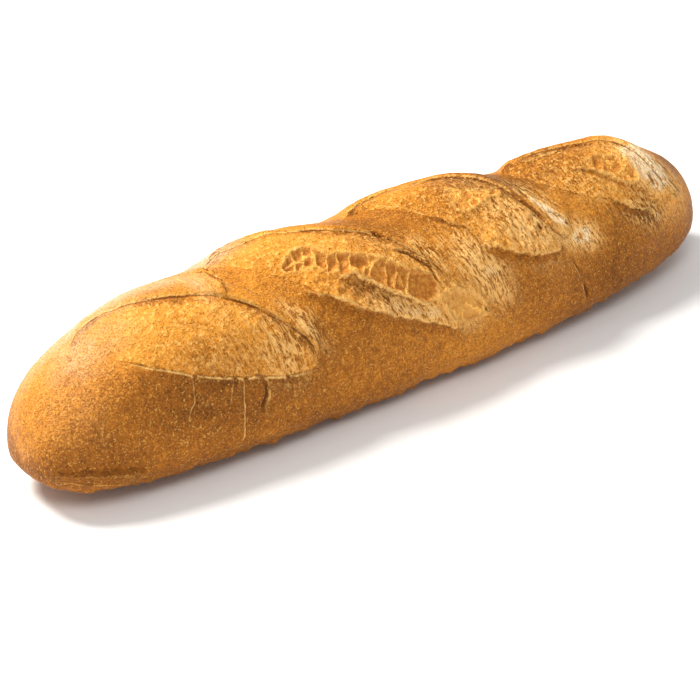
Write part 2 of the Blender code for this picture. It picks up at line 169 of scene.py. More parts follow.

# Seams are the lines where the crust cracked, folded or stands in a step, in millimetres: how dark
# the painted shade along the line is, its half width and how deep it cuts, how high the crust stands
# on the left of the way and how far that reaches, how low it lies on the right and how far that
# reaches, and how pale the seam's lip is, pale crust that is also a painted highlight on its crest.
# opens is the side on which the torn inside lies: 1 for the left, -1 for the right and 0 for
# neither. ragged is how irregular the seam is, from 0 to 1.
Seam = namedtuple("Seam", "way dark half_width cut rise reach sink sink_reach pale opens ragged",
                  defaults=(0.6, 0.12, 0.25, 0.0, 4.0, 0.0, 4.0, 0.0, 0, 1.0))
SEAMS = (
    # The end of the first ear is a flap that lies over the next strap.
    Seam(((-77.5, -11), (-75, -8.2), (-73.1, -5.6), (-71.7, -2.4), (-71.6, 6), (-72, 14.3), (-73.2, 19.6),
         (-75.3, 24.6)), dark=0.85, half_width=0.35, cut=0.6, rise=2.4, reach=4.5, sink=0.8,
         sink_reach=3.0, pale=1.0, ragged=0.4),
    Seam(((-77.5, -6), (-75.4, -3), (-74, 1.9), (-73.9, 9.4), (-74.6, 16.9), (-75.4, 20)), dark=0.75,
         half_width=0.22, cut=0.5, rise=0.2, reach=1.5, pale=0.4, ragged=0.4),
    Seam(((-79.5, -2), (-77.6, 3.3), (-77.2, 12.2), (-77.7, 18.2), (-77.5, 23)), dark=0.1, half_width=0.1,
         cut=0.1, rise=0.7, reach=2.0, pale=1.0),
    Seam(((-91.5, -2), (-90.5, 3), (-89.9, 7.3)), dark=0.3, half_width=0.15, cut=0.3, rise=0.4, reach=1.5,
         pale=0.8),
    Seam(((-85.1, 11), (-83.8, 4), (-82.5, -14)), dark=0.2, rise=0.3, reach=2.5, pale=0.5),
    # The rim where the skin of the near end meets the first torn inside.
    Seam(((-117, 32), (-114.5, 35), (-109.3, 42), (-101.4, 50), (-97.1, 54), (-89.8, 59), (-81.3, 64),
         (-73.3, 67), (-62.4, 72), (-53.2, 74)), dark=0.0, half_width=0.10, sink=-0.5, pale=0.8, opens=-1,
         ragged=0.25),
    Seam(((-57.2, 48), (-60, 44), (-62.4, 40), (-65.2, 38), (-69, 37)), dark=0.25, rise=0.35, reach=3.0,
         pale=0.35),
    # Cracks that run down from that rim, and short ones in the near end's skin.
    Seam(((-97.1, 54), (-98.2, 63), (-98.8, 68), (-101.2, 71), (-102.5, 78)), dark=0.75, half_width=0.18,
         cut=0.5, rise=0.3, reach=1.2, pale=0.5, ragged=0.4),
    Seam(((-94.8, 66), (-93.7, 73)), dark=0.5, cut=0.3, pale=0.2),
    Seam(((-83.6, 64), (-85, 70), (-86.6, 77)), dark=0.2, rise=0.3, reach=0.9, pale=0.4, ragged=0.4),
    Seam(((-79.5, 64), (-81, 77), (-82, 92), (-82.3, 106)), dark=0.5, half_width=0.16, rise=0.4,
         reach=0.9, sink=0.3, sink_reach=1.5, pale=0.7, ragged=0.3),
    Seam(((-75.1, 88), (-74.4, 82), (-72.3, 78), (-71.8, 72), (-73.2, 66)), dark=1.0, half_width=0.6,
         cut=1.5, rise=0.3, reach=1.5, pale=0.5, ragged=0.4),
    Seam(((-63.5, 71), (-63.9, 77)), dark=0.3, cut=0.3, pale=0.2),
    Seam(((-94.6, 88), (-93, 89)), dark=0.5, cut=0.3),
    Seam(((-129.7, -2), (-129.9, 4), (-129.9, 10)), dark=0.35, half_width=0.3, cut=0.5),
    Seam(((-130.1, 53), (-131.6, 66), (-131.9, 74)), dark=0.3, cut=0.3, pale=0.2),
    Seam(((-119.6, 74), (-121, 82)), dark=0.3, cut=0.3, pale=0.2),
    # The crease round the bottom of the near end, and the lip of crust below it.
    Seam(((-149.4, 84), (-147.7, 86), (-143.6, 88), (-138.3, 89), (-132.7, 91), (-124.6, 96),
         (-116, 104)), dark=0.35, half_width=1.1, cut=0.8, rise=1.5, reach=5.0, sink=0.6, pale=0.2),
    Seam(((-148.9, 95), (-145, 99), (-138, 104), (-130, 111), (-122.4, 120)), dark=0.3, half_width=0.25,
         cut=0.4, rise=0.5, reach=3.0, pale=0.3),
    # Strap between the first and second slash.
    Seam(((-69.2, 12.5), (-68.8, 19)), cut=0.3, pale=0.5),
    Seam(((-67, 20), (-63.6, 30)), dark=0.7, cut=0.4, rise=0.3, reach=1.0, pale=0.6),
    Seam(((-48.9, 40), (-45.4, 50)), dark=0.15, half_width=0.3, cut=0.4, rise=0.2, pale=0.3),
    # Second slash: an outer ear at its start, the pocket's proud lower lip, the torn rim below it,
    # the fold beyond the pocket, and two notches.
    Seam(((-37, -8.8), (-41.5, -13), (-47.2, -17.6), (-50.7, -20.5), (-55.5, -22), (-61.7, -20),
         (-67.9, -14.5)), dark=0.8, half_width=0.35, cut=0.5, sink=-1.0, ragged=0.5),
    Seam(((2.2, 63), (-3.9, 62.5), (-8.1, 58.5), (-10.8, 55), (-14.6, 53), (-17.2, 50.5), (-18.4, 48),
         (-20.8, 46.3), (-22.6, 43), (-24.4, 42), (-25.8, 40), (-27, 36.5), (-29.3, 37), (-32, 36.5),
         (-34, 34)), dark=0.35, half_width=0.15, cut=0.2, rise=0.5, reach=1.0, sink=1.4, sink_reach=5.0,
         pale=1.0),
    Seam(((13.5, 81), (6, 78.5), (0.2, 73.5), (-6.7, 69.5), (-11.4, 66), (-17.2, 63), (-22.5, 58.5),
         (-28.3, 55.5), (-33.9, 48.5), (-40.9, 42.5), (-48, 36)), dark=0.25, half_width=0.2, cut=0.2,
         rise=2.4, reach=5.5, sink=0.5, sink_reach=3.0, pale=0.8, opens=1),
    Seam(((6.6, 61), (5.2, 55), (5.1, 49), (3.7, 43), (0.7, 38), (-4.1, 33), (-9, 30)), dark=0.75,
         half_width=0.35, cut=0.7, rise=0.5, reach=2.0, sink=0.6, sink_reach=2.5, pale=0.5),
    Seam(((-11, 12), (-8, 17), (-4.9, 22)), dark=0.9, half_width=0.45, cut=0.7),
    Seam(((22.6, 74), (23.6, 78)), dark=0.8, half_width=0.45, cut=1.0),
    # Strap between the second and third slash.
    Seam(((-2, -22), (4.7, -7), (9.6, 2), (14.1, 12), (18.7, 22)), dark=0.12, rise=0.35, pale=0.35),
    Seam(((13.3, 14), (17.8, 20), (21.9, 27), (25.5, 32), (28.5, 37)), dark=0.5, half_width=0.2, cut=0.3,
         rise=-0.5, reach=3.0, sink=-0.5, sink_reach=3.0, pale=0.3),
    # Third slash: the step below its smooth upper part, and the proud notched rim of its end.
    Seam(((63.7, 53), (57.3, 44), (53, 37), (50, 28), (46.7, 21), (40.3, 16), (33.4, 13)), dark=0.35,
         half_width=0.25, cut=0.3, rise=-0.2, reach=3.0, sink=-0.7, sink_reach=3.0, pale=0.2),
    Seam(((65, 60.5), (60.7, 61.5), (51.9, 59.5), (44.4, 55.5), (37.7, 51.5), (32.8, 47), (28.1, 43)),
         dark=0.30, half_width=0.2, cut=0.3, rise=2.2, reach=6.0, sink=0.8, pale=0.8, opens=1),
    Seam(((53.4, 41), (54.5, 49)), dark=0.85, half_width=0.45, cut=0.9),
    Seam(((62.8, 57), (63.6, 62)), dark=0.85, half_width=0.5, cut=1.2),
    # Strap between the third and fourth slash: the gap at the third ear's end, a slot beside it, and
    # the strap's own cracks, the last of them in two parts that run down the side.
    Seam(((50.9, 11.5), (53.1, 22), (55.4, 32), (58.5, 41.5), (60.4, 46)), dark=0.75, half_width=0.55,
         cut=0.8, ragged=0.8),
    Seam(((55.4, 17), (57.3, 21.5), (58.9, 28)), dark=0.7, half_width=0.75, cut=0.9, rise=-0.6, reach=2.0,
         pale=0.7, ragged=0.6),
    Seam(((68.4, 45), (69.6, 48)), dark=0.9, half_width=0.5, cut=1.0),
    Seam(((66, 26), (68.5, 33), (71, 41)), dark=0.5, half_width=0.15, cut=0.3, rise=-0.3, reach=2.0,
         pale=0.4, ragged=0.5),
    Seam(((70.5, 49), (68, 42), (63.7, 37), (59.8, 34)), dark=0.5, half_width=0.2, cut=0.3, rise=0.5,
         reach=3.0, sink=0.2, pale=0.4),
    Seam(((66.4, 66), (68, 71), (69.4, 76.8), (70.8, 81)), dark=0.85, half_width=0.3, cut=0.6, rise=0.4,
         reach=1.5, pale=0.5, ragged=0.6),
    Seam(((70.6, 82), (71.2, 86.5), (72.6, 93), (71.8, 100)), dark=1.0, half_width=0.65, cut=1.2,
         rise=0.5, reach=1.5, pale=0.6, ragged=0.5),
    # Fourth slash: its pocket's rim and the torn rim below. Then the lines across the far end, and
    # the fold along the fourth ear.
    Seam(((118, 46), (114.9, 51.5), (109.8, 43.5), (105.3, 39.5), (98.4, 32.5), (95, 24), (88, 19.5),
         (82, 12)), dark=0.25, half_width=0.2, cut=0.2, rise=0.6, reach=2.0, sink=0.8, pale=0.45),
    Seam(((113.4, 56), (106.6, 57), (99, 50), (92, 41)), dark=0.30, half_width=0.25, cut=0.3, rise=0.8,
         reach=3.0, sink=0.3, pale=0.5, opens=1),
    Seam(((96, -6), (101.4, 2), (106.7, 8), (109.8, 20), (112.5, 27)), dark=0.75, half_width=0.3, cut=0.5,
         rise=0.7, reach=2.5, pale=0.6, ragged=0.6),
    Seam(((122, -4), (125.5, 4), (128.2, 12), (129, 19.7), (129.3, 26)), dark=0.95, half_width=0.6,
         cut=0.5, rise=0.7, reach=2.5, pale=0.8, ragged=0.6),
    Seam(((124.5, 24), (126.7, 32.2), (128.3, 40)), dark=0.85, half_width=0.6, cut=0.5, rise=0.7,
         reach=2.5, pale=0.8, ragged=0.5),
    Seam(((125.5, 41), (128, 48), (131, 56)), dark=0.95, half_width=0.6, cut=0.5, rise=0.6, reach=2.5,
         pale=0.7, ragged=0.5),
    Seam(((114.4, 33.6), (115.3, 38.5), (116.2, 44.2)), dark=0.75, half_width=0.75, cut=0.5, rise=0.6,
         reach=2.5, pale=0.7, ragged=0.5),
    Seam(((68, -10), (73.7, -3), (86, -7), (97.1, -8), (103.4, 1)), dark=0.5, cut=0.4, rise=-0.8,
         reach=3.0, pale=0.5),
)
FIBRE_TILT = 20.0              # degrees by which the stretched fibres lean from running round the loaf
THREAD_WIDTH = 0.0016
THREAD_LENGTH = 0.009
THREAD_HEIGHT = 0.00030
WAY_FADE = 0.0060              # over what length a seam fades at its two ends
FOLD_REACHES = 2.2             # beyond how many of its reaches a fold's height is gone
STRAY_DISTANCE = 0.0008        # how far a ragged seam strays from its way
STRAY_SIZE = 0.0032
FOLD_LUMP_SIZE = 0.0022        # of the lumps that make folds uneven
RIM_LUMP_SIZE = 0.0014         # and the same for the pockets' rims, and for the patches' edges
PATCH_LUMP_SIZE = 0.004
# In millimetres:
STEP_WIDTH = 0.7               # of the step across a seam
CUT_SLOPE = 0.3                # how far a cut reaches beyond its line's half width
RIM_DECIDES = 5.0              # how far from a seam that opens it says what is torn
FLOUR_STOPS = 2.5              # how far from it the skin's side loses its flour and fibres
LINE_OFFSET = 0.15             # how far a line lies beside its seam, away from the lip

# Patches where the crust is paler, darker, floury or stretched, under the mark they add to: how
# much, their middle, how far they reach along and across their own length in millimetres, and how
# many degrees that length is turned from the loaf's.
Patch = namedtuple("Patch", "amount x angle reach_along reach_across turn")
PATCHES = {
    # White flour on the first two ears and the near end, painted whiter there as a sheen where they
    # face the light.
    "dusted_and_sheen": (
        (0.8, -112, -24, 27, 12, 8), (0.55, -92, -12, 14, 7, 20), (0.25, -119, 8, 12, 9, 20),
        (0.4, -128, 4, 10, 13, 0), (0.08, -138, 26, 12, 20, 0), (0.4, -80, 2, 4.5, 12, 0),
        (0.9, -64, -25, 13, 9, 10)),
    # Golden flour on the ridges that face up. Its patches on the far end's top (117, 28) and at the
    # tip of the strap between the third and fourth slash (75.5, 58) are painted highlights.
    "flour_and_highlight": (
        (0.7, -52, 50, 9, 2.2, 55), (0.9, 27, 57, 13, 7, 55), (0.9, 66.5, 54, 7, 4.5, 45),
        (1.5, 63.6, 38, 12, 3.2, 52), (1.5, 75.5, 58, 7, 4.5, 20), (2.0, 117, 28, 14, 8.5, 60),
        (0.6, 126, 52, 12, 9, 60), (1.0, -8, 63.3, 20, 3.2, 20), (0.85, 50, 46, 14, 7, 35),
        (0.8, 14, 71, 10, 6, 20), (0.3, -65, 62, 10, 5, 40)),
    # Bare spots that stayed pale.
    "pale": (
        (0.35, 14, 70, 9, 6, 20), (0.4, 67, 53, 5, 4, 40)),
    # Stretched skin, with pale threads that lean from running round the loaf.
    "fibres": (
        (1.0, -8, 63.3, 21, 3.6, 20), (0.9, 6, 38, 9, 5, 50), (0.9, 24, 52, 15, 8, 55),
        (1.0, 48, 42, 15, 9, 35), (0.8, 60, 20, 12, 5, 55), (0.7, 74, 56, 10, 6, 30),
        (0.9, 108, 55, 14, 7, 30), (0.8, 122, 32, 18, 9, 62), (0.72, -62, 58, 12, 9, 40),
        (0.6, -51, 51, 10, 4, 55), (0.4, 90, 30, 25, 9, 25)),
    # Browner baking, of the skin and the torn insides alike, and painted shade: under the second
    # pocket's proud lower lip (-21, 48) and on the strap beside the first ear's flap (-67, 6).
    "toast_and_painted_light": (
        (0.09, -95, 56, 26, 6, 20), (0.08, -52, 38, 12, 16, 10), (0.24, 136, 22, 8, 12, 10),
        (0.16, 106, 38, 16, 2.6, 45), (0.1, 110, 55.7, 8, 4, 30), (0.03, -118, 92, 26, 16, 0),
        (0.1, -138, 92, 16, 12, 0), (0.03, -88, 76, 26, 6, 20), (0.05, 88, 92, 20, 14, 0),
        (0.31, -21, 48, 15, 3.8, 24), (0.12, -80, 55, 22, 8, 22), (0.05, -95, 10, 12, 10, 20),
        (0.12, -67, 6, 5, 13, 10), (0.05, -85, 80, 30, 5, 12), (0.18, -5, 10, 24, 14, 0),
        (0.34, 44, 7, 24, 14, 0), (0.27, 84, 4, 20, 14, 0), (0.14, 108, 60, 8, 4, 25)),
    # Baking of the skin alone: browner above 0, paler below. The paler patches on the middle of the
    # front, from x -35 to 27, are painted light bounced up from the floor.
    "skin_toast_and_painted_light": (
        (0.12, -112, 54, 16, 9, 30), (-0.05, -35, 92, 18, 8, 0), (-0.03, -20, 100, 45, 16, 0),
        (-0.12, 15, 118, 50, 8, 0), (-0.09, 27, 100, 24, 12, 0), (-0.04, 0, 85, 40, 8, 10),
        (-0.12, 22, 60, 16, 9, 50), (-0.1, 76, 62, 12, 12, 20), (-0.17, 126, 50, 16, 16, 60),
        (-0.05, -56, 48, 12, 7, 50)),
}

# ---------------------------------------------------------------- the mesh
SEGMENTS_ROUND = 200
RINGS_ALONG = 490
MIDDLE_SHARE = 0.80            # share of the rings that are spaced evenly; the rest crowd at the ends
CROWDING = 0.5                 # how much closer the segments are on the slashed side
CROWDING_ANGLE = 35.0
EDGE_PULL = 0.75               # how strongly vertices gather along the ears' edges
EDGE_PULL_WIDTH = 0.0016
SEAM_PULL = 0.7                # how strongly they gather on the seams
SEAM_PULL_WIDTH = 0.0007
SEAM_REACH = 0.003             # how far from a seam vertices still heed it
MILLIMETRE = 0.001

# ---------------------------------------------------------------- the camera and the stage
CAMERA_PLACE = (-0.5001, -0.6375, 0.4617)
CAMERA_AIM = (-0.0142, -0.0031, 0.0098)
CAMERA_LENS = 134.03           # millimetres, on a sensor 36 mm wide
FLOOR_SIZE = 6.0
KEY_DIRECTION = (-0.36, 0.42, 0.83)
REFLECTOR_DIRECTION = (-0.40, -0.50, 0.78)


# ================================================================ the loaf's form
def smooth_step(value):
    """0 below 0, 1 above 1, and an S-curve between."""
    value = np.clip(value, 0.0, 1.0)
    return value * value * (3.0 - 2.0 * value)


def bell(distance, width):
    """1 at no distance, falling to 0 over about a width."""
    return np.exp(-(distance / width) ** 2)


def opening_envelope(along):
    """0 at a slash's two tips and 1 half way, with rounded tips."""
    return np.maximum(4.0 * along * (1.0 - along), 0.0) ** 0.6


def edge_bow(along, bow):
    """How far an edge of a slash stands off the line between its tips."""
    first = bow[0] / opening_envelope(0.25)
    middle = bow[1]
    last = bow[2] / opening_envelope(0.75)
    step = (along - 0.5) / 0.25
    curve = middle + step * (last - first) / 2.0 + step * step * ((first + last) / 2.0 - middle)
    return opening_envelope(along) * curve


def round_distance(angle):
    """An angle on the loaf as a distance round it."""
    return np.radians(angle) * MEAN_RADIUS


def slash_line(slash):
    """Start, direction and length of the line between a slash's tips, on the unrolled surface."""
    x0, g0 = slash.start[0], round_distance(slash.start[1])
    x1, g1 = slash.end[0], round_distance(slash.end[1])
    length = math.hypot(x1 - x0, g1 - g0)
    return (x0, g0), ((x1 - x0) / length, (g1 - g0) / length), length


def slash_place(slash, x, angle):
    """Share of the way along a slash, and distance across it, positive towards its ear."""
    (x0, g0), (tx, tg), length = slash_line(slash)
    dx, dg = x - x0, round_distance(angle) - g0
    return (dx * tx + dg * tg) / length, dx * tg - dg * tx


def slide_across(slash, x, angle, distance):
    """The place that lies a distance further across a slash, towards its ear."""
    _, (tx, tg), _ = slash_line(slash)
    return x + distance * tg, angle - np.degrees(distance * tx / MEAN_RADIUS)


def lumps(points, size, octaves=3):
    """Uneven lumps of about a given size, between about -1 and 1, at each point."""
    scaled = (np.asarray(points) / size).tolist()
    return np.array([noise.fractal(place, 0.9, 2.0, octaves, noise_basis="PERLIN_ORIGINAL")
                     for place in scaled])


def unrolled_lumps(x, angle, size_along, size_round, seed, octaves=3):
    """Lumps that follow the unrolled crust and can be longer one way than the other."""
    places = np.stack([x / size_along, round_distance(angle) / size_round, np.full_like(x, seed)], axis=1)
    return lumps(places, 1.0, octaves)


def slash_edges(number, along):
    """How far the ragged edges of a slash stand off its line, on the ear's and the skin's side."""
    slash = SLASHES[number]
    length = slash_line(slash)[2]
    seed = slash.start[0] * 1000.0
    places = np.stack([along * length, np.zeros_like(along), np.zeros_like(along)], axis=1)
    ear_places = places + (seed, 0.0, 0.0)
    skin_places = places + (seed, 0.5, 0.0)
    opening = opening_envelope(along)
    ear_wander = EDGE_WANDER * opening * lumps(ear_places, EDGE_WANDER_SIZE)
    skin_wander = EDGE_WANDER * opening * lumps(skin_places, EDGE_WANDER_SIZE, 5)
    droop = TEARS[number].droop * opening * (1.0 - smooth_step((along - 0.35) / 0.3))
    ear_edge = edge_bow(along, slash.ear_bow) + ear_wander - droop
    return ear_edge, edge_bow(along, slash.skin_bow) + skin_wander


def gather_on_edges(x, angle):
    """Move vertices towards the edge of a nearby ear, so that the step there stays crisp."""
    for number, slash in enumerate(SLASHES):
        along, across = slash_place(slash, x, angle)
        near = np.flatnonzero((along > 0.0) & (along < 1.0))
        ear_edge, _ = slash_edges(number, along[near])
        away = across[near] - ear_edge
        pull = EDGE_PULL * opening_envelope(along[near]) * bell(away, EDGE_PULL_WIDTH)
        x[near], angle[near] = slide_across(slash, x[near], angle[near], -away * pull)
    return x, angle


def down_side(angle, start, spread):
    """0 over the top of the loaf, growing to 1 over a spread of degrees down either side."""
    return smooth_step((np.abs(angle) - start) / spread)


def strap_depth(x, angle):
    """1 on the bands of crust between neighbouring slashes, falling to 0 on either side."""
    depth = np.zeros_like(x)
    for slash, following in zip(SLASHES, SLASHES[1:]):
        xa, ga = following.start[0], round_distance(following.start[1])
        xb, gb = slash.end[0], round_distance(slash.end[1])
        length = math.hypot(xb - xa, gb - ga)
        gap = ((x - xa) * (gb - ga) - (round_distance(angle) - ga) * (xb - xa)) / length
        depth = np.maximum(depth, bell(gap, STRAP_WIDTH))
    return depth * smooth_step((np.cos(np.radians(angle)) + 0.2) / 0.6)


def loaf_points(x, angle):
    """Where the crust lies at places along and round the loaf, and which way it faces there."""
    place = x / (LOAF_LENGTH / 2.0)
    near = place < 0.0
    power = np.where(near, NEAR_END[0], FAR_END[0])
    bluntness = np.where(near, NEAR_END[1], FAR_END[1])
    tip_drop = np.where(near, NEAR_TIP_DROP, FAR_TIP_DROP)
    closing = np.maximum(1.0 - np.abs(place) ** power, 0.0) ** bluntness
    girth = 1.0 + GIRTH_SLOPE * place
    girth += GIRTH_BELLY * (place ** 2 - 0.33) + GIRTH_SWELL * (place ** 3 - 0.6 * place)

    sine, cosine = np.sin(np.radians(angle)), np.cos(np.radians(angle))
    section_power = np.where(cosine > 0.0, TOP_POWER, UNDERSIDE_POWER)
    rise = SECTION_HEIGHT * np.where(cosine > 0.0, 1.0 - WAIST, -WAIST)
    side = -0.5 * LOAF_WIDTH * np.copysign(np.abs(sine) ** (2.0 / section_power), sine)
    up = rise * np.abs(cosine) ** (2.0 / section_power)
    outward = np.stack([np.zeros_like(x), side / (0.5 * LOAF_WIDTH) ** 2, up / rise ** 2], axis=1)
    outward *= (np.sqrt(closing) / np.linalg.norm(outward, axis=1))[:, None]

    centre_y = CENTRE_SHIFT + CENTRE_BOW * place ** 2 + CENTRE_SWERVE * place ** 3
    centre_z = SECTION_HEIGHT * WAIST * girth - PRESSED_FLAT - tip_drop * place ** 2 * (1.0 - closing)
    scale = closing * girth
    return np.stack([x, centre_y + scale * side, centre_z + scale * up], axis=1), outward


def ring_places(share):
    """x of the rings: even spacing in the middle of the loaf, closer and closer towards a tip."""
    middle_end = 2.0 * MIDDLE_SHARE / (1.0 + MIDDLE_SHARE)
    reach = np.abs(share)
    even = reach * middle_end / MIDDLE_SHARE
    crowded = 1.0 - (1.0 - middle_end) * ((1.0 - reach) / (1.0 - MIDDLE_SHARE)) ** 2
    return np.copysign(np.where(reach <= MIDDLE_SHARE, even, crowded), share) * LOAF_LENGTH / 2.0


# ================================================================ the crust's relief
def rounded(way):
    """A way in metres on the unrolled crust, with its corners cut twice so that it bends smoothly."""
    points = [(px * MILLIMETRE, float(round_distance(pa))) for px, pa in way]
    for _ in range(2):
        cut = [points[0]]
        for (ax, ag), (bx, bg) in zip(points, points[1:]):
            cut += [(0.75 * ax + 0.25 * bx, 0.75 * ag + 0.25 * bg),
                    (0.25 * ax + 0.75 * bx, 0.25 * ag + 0.75 * bg)]
        points = cut + [points[-1]]
    return points


# What a way is to the places near it: their numbers, their distance from it, positive on its left,
# their offsets to its nearest point, and 1 along it, falling to 0 at its two ends.
Beside = namedtuple("Beside", "here distance to_x to_g ends")


def beside_way(x, angle, way, reach):
    """Find the places within reach of a way, and how they lie to it."""
    points = rounded(way)
    g = round_distance(angle)
    low, high = np.min(points, axis=0) - reach, np.max(points, axis=0) + reach
    here = np.flatnonzero((x > low[0]) & (x < high[0]) & (g > low[1]) & (g < high[1]))
    x, g = x[here], g[here]
    nearest = np.full_like(x, np.inf)
    to_x, to_g, side, travelled = (np.zeros_like(x) for _ in range(4))
    walked = 0.0
    for (ax, ag), (bx, bg) in zip(points, points[1:]):
        run_x, run_g = bx - ax, bg - ag
        run = math.hypot(run_x, run_g)
        share = np.clip(((x - ax) * run_x + (g - ag) * run_g) / run ** 2, 0.0, 1.0)
        away_x, away_g = ax + share * run_x - x, ag + share * run_g - g
        closer = np.hypot(away_x, away_g) < nearest
        nearest = np.where(closer, np.hypot(away_x, away_g), nearest)
        to_x, to_g = np.where(closer, away_x, to_x), np.where(closer, away_g, to_g)
        side = np.where(closer, np.sign(run_g * away_x - run_x * away_g), side)
        travelled = np.where(closer, walked + share * run, travelled)
        walked += run
    fade = min(WAY_FADE, walked / 3.0)
    ends = smooth_step(travelled / fade) * smooth_step((walked - travelled) / fade)
    return Beside(here, side * nearest, to_x, to_g, ends)


def inside_way(x, angle, way):
    """Whether each place lies inside a closed way on the unrolled crust."""
    points = rounded(way + way[:1])
    g = round_distance(angle)
    inside = np.zeros(len(x), bool)
    for (ax, ag), (bx, bg) in zip(points, points[1:] + points[:1]):
        crossing = (ag > g) != (bg > g)
        inside ^= crossing & (x < ax + (bx - ax) * (g - ag) / (bg - ag + 1e-12))
    return inside


def stray(x, angle):
    """Places a little off their own, so that lines drawn between points come out irregular."""
    shift_x = STRAY_DISTANCE * unrolled_lumps(x, angle, STRAY_SIZE, STRAY_SIZE, seed=3.1, octaves=4)
    shift_g = STRAY_DISTANCE * unrolled_lumps(x, angle, STRAY_SIZE, STRAY_SIZE, seed=7.7, octaves=4)
    return x + shift_x, angle + np.degrees(shift_g / MEAN_RADIUS)


def gather_on_seams(x, angle):
    """Move vertices onto nearby seams, so that a fine crack or a step is met by a row of them."""
    stray_x, stray_angle = stray(x, angle)
    shift_x, shift_angle = np.zeros_like(x), np.zeros_like(x)
    pulled = np.zeros_like(x)
    ways = [(seam.way, seam.ragged) for seam in SEAMS]
    for pocket in POCKETS:
        ways += [(way, 1.0) for way in (pocket.way + pocket.way[:1], *pocket.walls)]
    for way, ragged in ways:
        place = x + ragged * (stray_x - x), angle + ragged * (stray_angle - angle)
        beside = beside_way(*place, way, SEAM_REACH)
        pull = SEAM_PULL * bell(beside.distance, SEAM_PULL_WIDTH) * beside.ends
        stronger = pull > pulled[beside.here]
        here, pull = beside.here[stronger], pull[stronger]
        pulled[here] = pull
        shift_x[here] = beside.to_x[stronger] * pull
        shift_angle[here] = np.degrees(beside.to_g[stronger] * pull / MEAN_RADIUS)
    return x + shift_x, angle + shift_angle


def add_seams(x, angle, height, marks, settings):
    """Cut the cracks into the crust, and raise its folds and steps."""
    stray_x, stray_angle = stray(x, angle)
    crumbly = unrolled_lumps(x, angle, FOLD_LUMP_SIZE, FOLD_LUMP_SIZE, seed=21.0)
    for seam in SEAMS:
        reach = FOLD_REACHES * max(seam.reach, seam.sink_reach) * MILLIMETRE
        place = x + seam.ragged * (stray_x - x), angle + seam.ragged * (stray_angle - angle)
        here, distance, _, _, ends = beside_way(*place, seam.way, reach)
        distance = distance / MILLIMETRE
        step = smooth_step(distance / STEP_WIDTH + 0.5)
        left = seam.rise * np.exp(-(np.maximum(distance, 0.0) / seam.reach) ** 1.5)
        right = seam.sink * np.exp(-(np.maximum(-distance, 0.0) / seam.sink_reach) ** 1.5)
        cut = seam.cut * bell(distance, seam.half_width + CUT_SLOPE)
        uneven = np.clip(1.0 + 0.6 * crumbly[here], 0.3, 1.6)
        relief = step * left * uneven - (1.0 - step) * right - cut
        height[here] += settings.seam_depth * MILLIMETRE * ends * relief
        if seam.opens:
            gap = np.clip(seam.opens * distance, -3.0, 3.0)
            at_edge = ends * (np.abs(distance) < RIM_DECIDES)
            marks["torn_gap"][here] += at_edge * (gap - marks["torn_gap"][here])
            skin_side = at_edge * smooth_step(0.5 - gap / 0.6)
            for name in ("flour_and_highlight", "fibres"):
                marks[name][here] *= 1.0 - 0.9 * skin_side * (np.abs(distance) < FLOUR_STOPS)
            # The skin just below the rim is painted darker, as shade under the proud torn edge.
            marks["skin_toast_and_painted_light"][here] += 0.05 * skin_side * bell(distance, 3.0)
        lip_side = 1.0 if seam.rise >= 0.0 else -1.0
        add_line(marks, here, distance * lip_side + LINE_OFFSET, seam.half_width,
                 seam.dark * ends, seam.pale * ends)


def add_line(marks, here, place, half_width, dark, pale):
    """Note a line by its distance, positive towards its lip, its half width, the darkness of its painted
    shade and its paleness.
    """
    nearer = np.abs(place) < np.abs(marks["line_place"][here])
    shown = smooth_step((2.6 - np.abs(place)) / 0.8)
    for name, value in (("line_place", place), ("line_half_width", half_width),
                        ("line_painted_shade", dark * shown), ("line_pale", pale * shown)):
        marks[name][here] = np.where(nearer, value, marks[name][here])


def add_patches(x, angle, marks):
    """Add the paler, darker, floury and stretched patches to their marks."""
    g = round_distance(angle)
    ragged = unrolled_lumps(x, angle, PATCH_LUMP_SIZE, PATCH_LUMP_SIZE, seed=11.0, octaves=4)
    patches = [(mark, Patch(*row)) for mark, rows in PATCHES.items() for row in rows]
    for mark, patch in patches:
        away_x, away_g = x - patch.x * MILLIMETRE, g - round_distance(patch.angle)
        cosine, sine = math.cos(math.radians(patch.turn)), math.sin(math.radians(patch.turn))
        along = (away_x * cosine + away_g * sine) / (patch.reach_along * MILLIMETRE)
        across = (away_g * cosine - away_x * sine) / (patch.reach_across * MILLIMETRE)
        amount = patch.amount * np.exp(-(along ** 2 + across ** 2) ** 1.3)
        if mark.endswith("toast_and_painted_light"):
            marks[mark] += amount
        else:
            rough = np.clip(amount * (1.0 + 0.5 * ragged), 0.0, max(patch.amount, 1.0))
            marks[mark] = np.maximum(marks[mark], rough)


def crumb_walls(pocket, x, angle):
    """Distance in millimetres from the nearest wall between two bubbles of the open crumb."""
    along, across = slash_place(SLASHES[pocket.slash], x, angle)
    along = along * slash_line(SLASHES[pocket.slash])[2] / (pocket.bubble_along * MILLIMETRE)
    across = across / (pocket.bubble_across * MILLIMETRE)
    places = np.stack([along, across, np.full_like(along, 3.7 + pocket.slash)], axis=1).tolist()
    nearest = np.array([noise.voronoi(place)[0][:2] for place in places]).reshape(-1, 2)
    return 0.5 * pocket.bubble_along * (nearest[:, 1] - nearest[:, 0])


